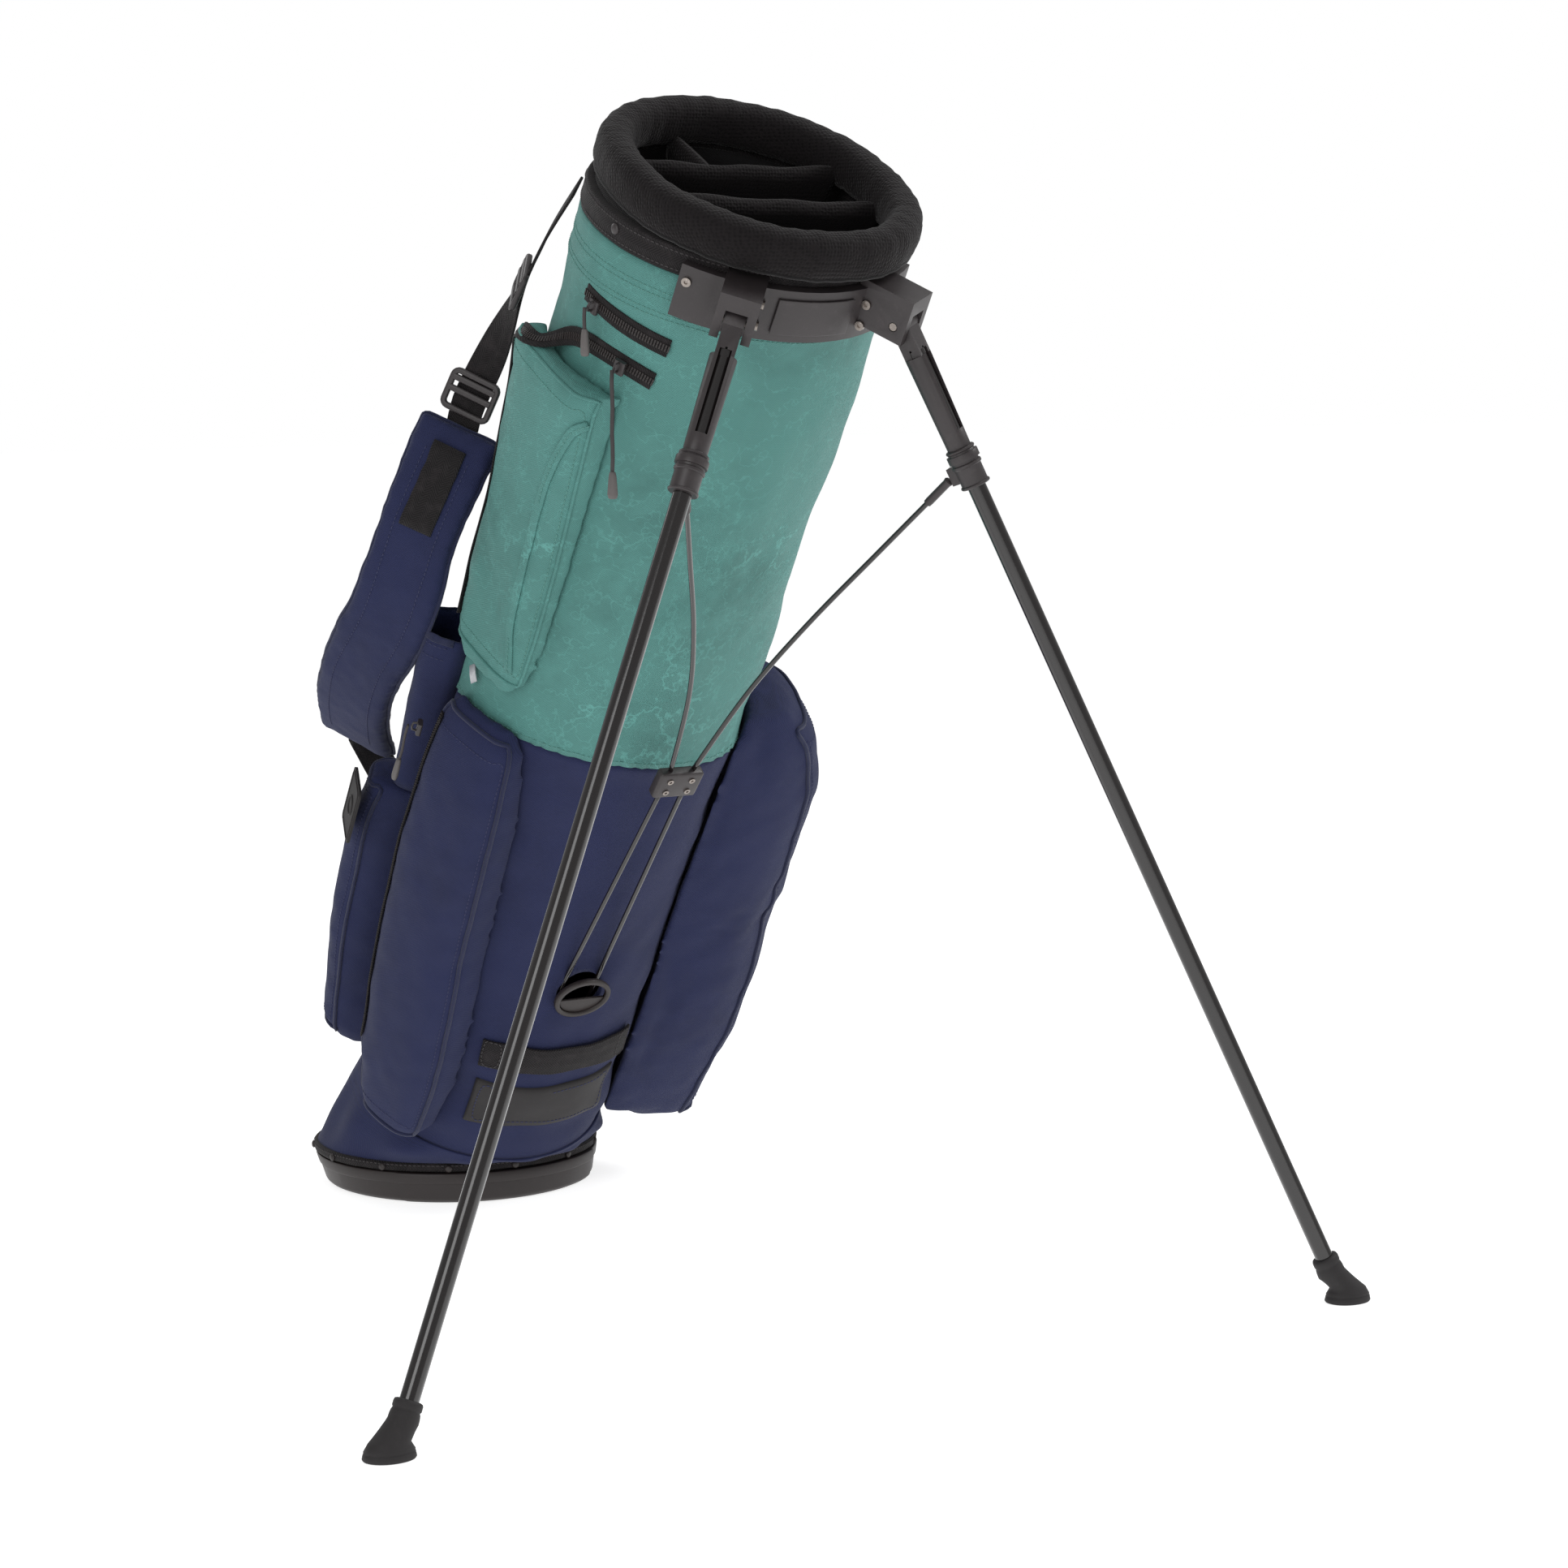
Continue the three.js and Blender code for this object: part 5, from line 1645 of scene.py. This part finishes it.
@dataclass
class BottleSleeve:
    """The open sleeve above the accessory pocket."""

    low: float = 373.0
    high: float = 508.0
    first: float = -101.0
    last: float = -127.0
    aim: float = -116.0
    reach: float = 29.0
    sag: float = 4.0

    def ring(self, height: float, inset: float) -> list[Vector]:
        """Returns the sleeve's outline at a height, shrunk by an inset and sagging outwards."""
        shape = PocketShape(((self.low, self.first, self.last, self.reach),
                             (self.high, self.first, self.last, self.reach + self.sag)), self.aim)
        outer = [shape.point(i / 24, height) for i in range(25)]
        inner = [skin(blend_value(self.last, self.first, i / 12), height, 1.4) for i in range(1, 12)]
        ring = outer + inner
        centre = sum(ring, Vector()) / len(ring)
        return [p + (centre - p).normalized() * inset for p in ring]

    def build(self) -> None:
        """Makes the sleeve, its hem and its stitches."""
        rows = 18
        heights = [blend_value(self.low, self.high, k / rows) for k in range(rows + 1)]
        outer = [self.ring(h, 0.0) for h in heights]
        for ring in outer[2:]:
            for i, point in enumerate(ring):
                tug = ease((self.high - point.z) / 20) * 1.6 * ripple(point, 24.0, 6.0)
                ring[i] = point + Vector((-0.44, -0.9, 0.0)) * max(-1.0, tug)
        lip = [self.ring(self.high + 1.2, inset) for inset in (0.8, 2.2)]
        inner = [self.ring(h, 3.0) for h in [self.high - 2.0, 470.0, 430.0, 390.0, 384.0]]
        rings = [[bag_point(*p) for p in ring] for ring in outer + lip + inner]
        sleeve = loft("bottle_sleeve_cloth", rings)
        declare(sleeve, NAVY_LEFT, "bag", "navy_canvas", "bottle_sleeve")
        surface = Surface(sleeve)
        lines = [self.ring(height, -1.0)[2:24] for height in (self.high - 6, self.high - 16)]
        declare(stitches(NAVY_THREAD).lay("bottle_sleeve_stitches", sewn_lines(surface, lines)), None, "bag",
                "navy_canvas")
        hem = self.ring(self.high, 0.0)[1:25]
        binding = laid_strip("bottle_sleeve_binding", surface, hem, 0.5, flat_outline(6.0, 1.6, 0.7))
        declare(binding, PIPING, "bag", "navy_canvas")


# ---------- Shoulder straps ----------
@dataclass
class ShoulderStraps:
    """Two padded straps with their webbing, buckles and adjusters."""

    width: float = 25.0
    webbing_route: tuple = ((-82, 84, 846), (-92, 90, 805), (-98, 94, 765), (-104, 102, 700),
                            (-100, 112, 664), (-90, 118, 646))
    pad_route: tuple = ((-88, 118, 650), (-68, 142, 590), (-62, 152, 510), (-88, 149, 440), (-114, 132, 385),
                        (-138, 108, 340))
    tail_route: tuple = ((-137, 108, 345), (-144, 98, 330), (-135, 78, 300), (-118, 56, 270), (-103, 42, 246),
                         (-97, 37, 238))
    pad_width: float = 64.0

    def route(self, points: Sequence[tuple], side: int) -> list[Vector]:
        """Returns a route's points on one side, in the shared frame."""
        return [bag_point(a, side * b, h) for a, b, h in points]

    def build(self, stuffing: Stuffing) -> None:
        """Makes the pads' shells, ready to fill."""
        self.pads = {name: stuffing.shell(f"shoulder_pad_{name}_cloth", f"shoulder_pad_{name}", 3.6, 0.8,
                                          2.6, 4.0, lambda _: False) for name in SIDES}

    def finish(self) -> None:
        """Makes the webbing and hardware, adds the pads' seams, and dresses them all."""
        for name, side in SIDES.items():
            pad = self.pads[name]
            refine(pad, smooth=2)
            push_out(pad, lambda p: 0.8 * ripple(p, 26.0, 2.0) + 0.35 * ripple(p, 10.0, 8.0))
            declare(pad, NAVY_LEFT, "bag", "navy_canvas", f"shoulder_pad_{name}")
            self.trim_pad(name, side, pad)
            strap = curve_points(self.route(self.webbing_route, side), 0.005)
            outward = []
            for i in range(len(strap)):
                turn = math.radians(blend_value(127.0, 49.0, ease((i / len(strap) - 0.3) / 0.55)))
                outward.append((TO_FLOOR @ Vector((math.cos(turn), side * math.sin(turn), 0.0))).normalized())
            webbing = sweep(f"strap_webbing_{name}_woven", strap, outward, flat_outline(self.width, 2.0, 0.8))
            declare(webbing, STRAP, "bag", "webbing", f"strap_webbing_{name}")
            tail = curve_points(self.route(self.tail_route, side), 0.005)
            across = (TO_FLOOR @ Vector((-0.95, side * 0.25, 0.1))).normalized()
            ribbon = sweep(f"strap_tail_{name}_woven", tail, [across] * len(tail), flat_outline(self.width, 2.0, 0.8))
            declare(ribbon, STRAP, "bag", "webbing", f"strap_tail_{name}")
            self.buckle(f"strap_adjuster_{name}", strap, 0.42, outward)
            self.buckle(f"strap_buckle_{name}", strap, 0.88, outward)

    def trim_pad(self, name: str, side: int, pad: bpy.types.Object) -> None:
        """Adds the edge piping and the quilting rows to a pad."""
        path = curve_points(self.route(self.pad_route, side), 0.006)
        across = (TO_FLOOR @ Vector((0.75, side * -0.66, 0.0))).normalized()
        surface = Surface(pad)
        rows = []
        half = across * (self.pad_width * 0.5 * MM)
        loop = [p - half for p in path] + [p + half for p in path[::-1]]
        laid, facing = surface.lay(curve_points(loop, 0.005, True), 0.5)
        declare(sweep(f"shoulder_pad_{name}_piping", laid, facing, round_outline(1.6), closed=True), PIPING, "bag",
                "navy_canvas")
        out = (TO_FLOOR @ Vector((0.66, side * 0.75, 0.0))).normalized()
        strip = [p + out * 0.02 for p in path[1:13]]
        laid, facing = surface.lay(strip, 1.0)
        declare(sweep(f"shoulder_pad_{name}_strip", laid, facing, flat_outline(self.width, 2.0, 0.8)), STRAP, "bag",
                "webbing")
        for offset in (-0.26, 0.26):
            line = [p + across * (offset * self.pad_width * MM) + out * 0.012 for p in path[3:-3]]
            rows.append((*surface.lay(curve_points(line, 0.004), 0.2), False))
        declare(stitches(NAVY_THREAD).lay(f"shoulder_pad_{name}_stitches", rows), None, "bag", "navy_canvas")

    def buckle(self, name: str, strap: Sequence[Vector], share: float, outward: Sequence[Vector]) -> None:
        """Makes a moulded buckle round the webbing: a frame with a bar across it."""
        index = min(len(strap) - 2, round(share * (len(strap) - 1)))
        along = (strap[index + 1] - strap[index - 1]).normalized()
        facing = outward[index]
        out = (facing - along * facing.dot(along)).normalized()
        across = along.cross(out)
        middle = strap[index] + out * 0.0028
        half_width, half_length = 17.0, 13.0
        corners = []
        for quarter, (sx, sy) in enumerate(((1, -1), (1, 1), (-1, 1), (-1, -1))):
            for i in range(5):
                turn = math.pi / 2 * (quarter - 1 + i / 4)
                corners.append((sx * (half_width - 4) + 4 * math.cos(turn),
                                sy * (half_length - 4) + 4 * math.sin(turn)))
        path = [middle + across * (u * MM) + along * (v * MM) for u, v in corners]
        frame_ring = sweep("frame", path, [out] * len(path), flat_outline(4.4, 4.2, 1.4), closed=True)
        bars = []
        for offset, thick in ((0.0, 3.2), (-8.0, 2.6)):
            ends = [middle + along * (offset * MM) + across * (u * MM) + out * 0.0012
                    for u in (-half_width + 1, 0, half_width - 1)]
            bars.append(sweep("bar", ends, [out] * 3, flat_outline(4.6, thick, 1.2)))
        declare(joined(name, [frame_ring, *bars]), SATIN, "bag", "dark_plastic")


# ---------- Zips ----------
@dataclass(frozen=True)
class Zip:
    """A zip: where its line runs, its slider's body and its pull."""

    name: str
    line: tuple[Vector, ...]
    slider: Vector
    facing: float
    pull: float
    lean: float
    easing: int = 8

    def build(self, surface: Surface) -> None:
        """Makes the tape, the teeth, the slider and the pull."""
        points = curve_points([bag_point(*p) for p in self.line], 0.005)
        laid, facing = surface.lay(points, 1.0)
        for _ in range(self.easing):
            for row in (laid, facing):
                row[1:-1] = [(row[i - 1] + 2 * row[i] + row[i + 1]) / 4 for i in range(1, len(row) - 1)]
        tape = sweep(f"{self.name}_zip_tape", laid, facing, flat_outline(13.0, 1.4, 0.6))
        declare(tape, STRAP, "bag", "webbing")
        raised = [p + f * (0.8 * MM) for p, f in zip(laid, facing)]
        rows = []
        for offset in (-1.3, 1.3):
            shifted = []
            for i, (p, f) in enumerate(zip(raised, facing)):
                tangent = (raised[min(i + 1, len(raised) - 1)] - raised[max(i - 1, 0)]).normalized()
                shifted.append(p + tangent.cross(f) * (offset * MM))
            rows.append((shifted, facing, False))
        teeth = Row(RowPart.TOOTH, DARK, 2.0, (1.1, 2.4, 1.3)).lay(f"{self.name}_zip_teeth", rows)
        declare(teeth, None, "bag", "dark_plastic")
        self.build_slider()

    def build_slider(self) -> None:
        """Makes the slider, with its bridge, and the cord pull with its moulded tip."""
        turn = Matrix.Rotation(math.radians(self.facing), 4, "Z")
        axes = TO_FLOOR @ Matrix.Translation(self.slider) @ turn
        out = direction(axes, 1.0, 0.0, 0.0)
        ends = [placed(axes, -2.0, 0.0, z) for z in (4.4, 2.5, 0.0, -3.0, -5.0)]
        body = sweep("slider", ends, [out] * 5, flat_outline(8.4, 3.6, 1.3))
        arch = ((-0.6, 3.4), (2.6, 2.8), (3.4, 0.0), (2.6, -2.8), (-0.6, -3.4))
        bridge = [placed(axes, x, 0.0, z) for x, z in arch]
        loop = sweep("bridge", bridge, [direction(axes, 0.0, 1.0, 0.0)] * 5, round_outline(0.9, 8))
        declare(joined(f"{self.name}_zip_slider_moulding", [body, loop]), SATIN, f"{self.name}_slider",
                "dark_plastic", f"{self.name}_zip_slider")
        hang = TO_FLOOR @ Matrix.Translation(self.slider + turn.to_3x3() @ Vector((6.0, 0.0, 0.0))) \
            @ Matrix.Rotation(-self.lean, 4, "Y") @ turn
        straight = [placed(hang, 0.4 * math.sin(0.2 * z), 0.0, -z) for z in
                    [self.pull * i / 8 for i in range(9)]]
        side = direction(hang, 1.0, 0.0, 0.0)
        cord = sweep("cord", straight, [side] * 9, flat_outline(2.8, 1.8, 0.8))
        rings = []
        for z, w, d in ((0, 1.2, 1.0), (0.6, 2.2, 1.6), (3, 2.8, 2.0), (9, 3.4, 2.3), (15, 3.9, 2.4),
                        (17.4, 3.2, 1.9), (18.0, 1.8, 1.0)):
            rings.append([placed(hang, d * math.cos(t), w * math.sin(t), -self.pull - z) for t in turns(20)])
        cord.data.materials.append(BLACK_THREAD.material())
        tip = loft("tip", rings)
        tip.data.materials.append(GREY_TIP.material())
        pull = joined(f"{self.name}_zip_pull_cord", [cord, tip], sharp=None)
        declare(pull, None, f"{self.name}_pull", "dark_plastic", f"{self.name}_zip_pull")


@dataclass
class Trim:
    """The patch, the reflective tab and the zips."""

    patch_place: tuple[float, float, float] = (-51.0, -149.0, 345.0)
    patch_turn: float = -16.0
    patch_size: tuple[float, float] = (36.0, 48.0)
    patch_faces: tuple[float, ...] = (0.7, 0.3, -0.8, -1.2)

    def build(self, body: Sequence[bpy.types.Object], pockets: dict[str, bpy.types.Object]) -> None:
        """Makes and dresses the trim.

        Args:
            body: the body's cloth pieces.
            pockets: the pockets by node name.
        """
        side = (Vector((66.0, -78.0, 787.0)), Vector((41.0, -97.0, 791.0)), Vector((18.0, -104.0, 788.0)),
                Vector((-5.0, -112.0, 780.0)), Vector((-14.0, -128.0, 770.0)), SIDE_POCKET.point(0.8, 764.0),
                *(SIDE_POCKET.point(0.88, height) for height in (740.0, 690.0, 630.0, 570.0, 530.0)))
        Zip("side", side, Vector((54.0, -100.0, 790.0)), -62.0, 66.0, LEAN).build(
            Surface(*body, pockets["side_pocket"]))
        apparel = tuple(APPAREL_POCKET.point(0.82, h) + Vector((-2.0, -2.0, 0.0)) for h in
                        (468.0, 440.0, 400.0, 340.0, 280.0, 220.0, 170.0))
        Zip("apparel", apparel, Vector((-5.0, -141.0, 452.0)), -112.0, 30.0, 0.0).build(
            Surface(pockets["apparel_pocket"]))
        neck = tuple(skin(angle, 818.0 - 0.12 * (angle + 78.0), 1.0)
                     for angle in (-84, -76, -68, -60, -52, -44))
        Zip("neck", neck, Vector((19.0, -110.0, 815.0)), -78.0, 14.0, LEAN).build(Surface(*body))
        self.build_patch()
        self.build_tab()

    def build_patch(self) -> None:
        """Makes the rubber patch: a plain plate with a raised border and a plain ring."""
        turn = Matrix.Rotation(math.radians(self.patch_turn), 4, "Z")
        axes = TO_FLOOR @ Matrix.Translation(self.patch_place) @ turn
        width, height = self.patch_size
        outline = flat_outline(width, height, 5.0, steps=7)
        plate = loft("plate", [[placed(axes, u, v, w) for u, w in outline] for v in self.patch_faces])
        out = direction(axes, 0.0, -1.0, 0.0)
        path = [placed(axes, u, -1.3, w) for u, w in flat_outline(width - 5.0, height - 5.0, 4.0, steps=7)]
        border = sweep("border", path, [out] * len(path), round_outline(0.7, 8), closed=True)
        path = [placed(axes, 7 * math.cos(t), -1.25, 7 * math.sin(t)) for t in turns(32)]
        pieces = [plate, border, sweep("ring", path, [out] * len(path), round_outline(0.9, 8), closed=True)]
        declare(joined("rubber_patch", pieces), BLACK_RUBBER, "bag", "rubber", "patch")

    def build_tab(self) -> None:
        """Makes the small reflective tab by the top of the clothing zip."""
        points = [bag_point(*p) for p in ((-2.0, -112.0, 507.0), (3.0, -113.0, 503.0), (8.0, -113.0, 499.0))]
        out = (TO_FLOOR @ Vector((0.0, -1.0, 0.2))).normalized()
        tab = sweep("reflective_tab", points, [out] * 3, flat_outline(7.0, 1.2, 0.5))
        declare(tab, REFLECTIVE, "bag", "webbing")


# ---------- Setting ----------
@dataclass(frozen=True)
class Setting:
    """The floor, the lights and the camera."""

    camera_place: tuple[float, float, float] = (2.698742, -1.279254, 0.685481)
    camera_target: tuple[float, float, float] = (0.3, 0.12198, 0.33536)
    lens: float = 88.27
    sensor: float = 36.0
    room: float = 0.38

    def build(self) -> None:
        """Makes the camera first, then the floor and the lights."""
        self.build_camera()
        self.build_floor()
        self.build_lights()

    def build_camera(self) -> None:
        """Sets the camera."""
        data = bpy.data.cameras.new("Camera")
        data.lens = self.lens
        data.sensor_width = self.sensor
        data.clip_end = 60.0
        camera = new_object("Camera", data)
        place, target = Vector(self.camera_place), Vector(self.camera_target)
        camera.location = place
        camera.rotation_euler = (target - place).to_track_quat("-Z", "Y").to_euler()
        bpy.context.scene.camera = camera

    def build_floor(self) -> None:
        """Lays the pale floor."""
        mesh = bpy.data.meshes.new("Floor")
        reach = 14.0
        mesh.from_pydata([(-reach, -reach, 0), (reach, -reach, 0), (reach, reach, 0), (-reach, reach, 0)], [],
                         [(0, 1, 2, 3)])
        floor = new_object("Floor", mesh)
        material = bpy.data.materials.new("Floor paint")
        material.use_nodes = True
        shader = material.node_tree.nodes["Principled BSDF"]
        tune(shader, base_color=(0.6, 0.6, 0.6, 1.0), emission_color=(1.0, 1.0, 1.0, 1.0),
             emission_strength=0.78, roughness=0.85, specular_ior_level=0.1)
        mesh.materials.append(material)

    def build_lights(self) -> None:
        """Hangs the soft lights and lights the room."""
        world = bpy.data.worlds.new("Studio")
        bpy.context.scene.world = world
        world.use_nodes = True
        graph = Graph(world.node_tree)
        seen = graph.add("ShaderNodeLightPath").outputs["Is Camera Ray"]
        strength = graph.math("ADD", graph.math("MULTIPLY", seen, 1.0 - self.room), self.room)
        backdrop = graph.add("ShaderNodeBackground", {"Color": (1.0, 1.0, 1.0, 1.0), "Strength": strength})
        output = graph.add("ShaderNodeOutputWorld")
        graph.feed(output, "Surface", backdrop.outputs[0])
        centre = Vector((0.28, 0.0, 0.4))
        lights = (("Key", (1.1, 1.9, 2.3), 1.2, 34.0), ("Fill", (2.2, -2.4, 1.6), 1.6, 23.0),
                  ("Rim", (-1.9, -0.4, 1.9), 1.4, 10.0), ("Top", (0.2, 0.0, 3.0), 1.8, 9.0))
        for name, place, size, power in lights:
            data = bpy.data.lights.new(name, "AREA")
            data.size = size
            data.energy = power
            light = new_object(name, data)
            light.location = place
            light.rotation_euler = (centre - Vector(place)).to_track_quat("-Z", "Y").to_euler()
        bpy.context.scene.view_settings.view_transform = "Standard"


def main() -> None:
    """Builds the setting and the bag."""
    logging.basicConfig(level=logging.INFO, format="%(name)s: %(message)s")
    Setting().build()
    stuffing = Stuffing()
    pockets = Pockets()
    straps = ShoulderStraps()
    pockets.build(stuffing)
    straps.build(stuffing)
    stuffing.fill()
    Base().build()
    lower, upper = Body().build()
    Mouth().build()
    Stand().build()
    LowerFront().build(lower)
    pockets.finish()
    BottleSleeve().build()
    straps.finish()
    Trim().build((lower, upper), pockets.shells)


if __name__ == "__main__":
    main()
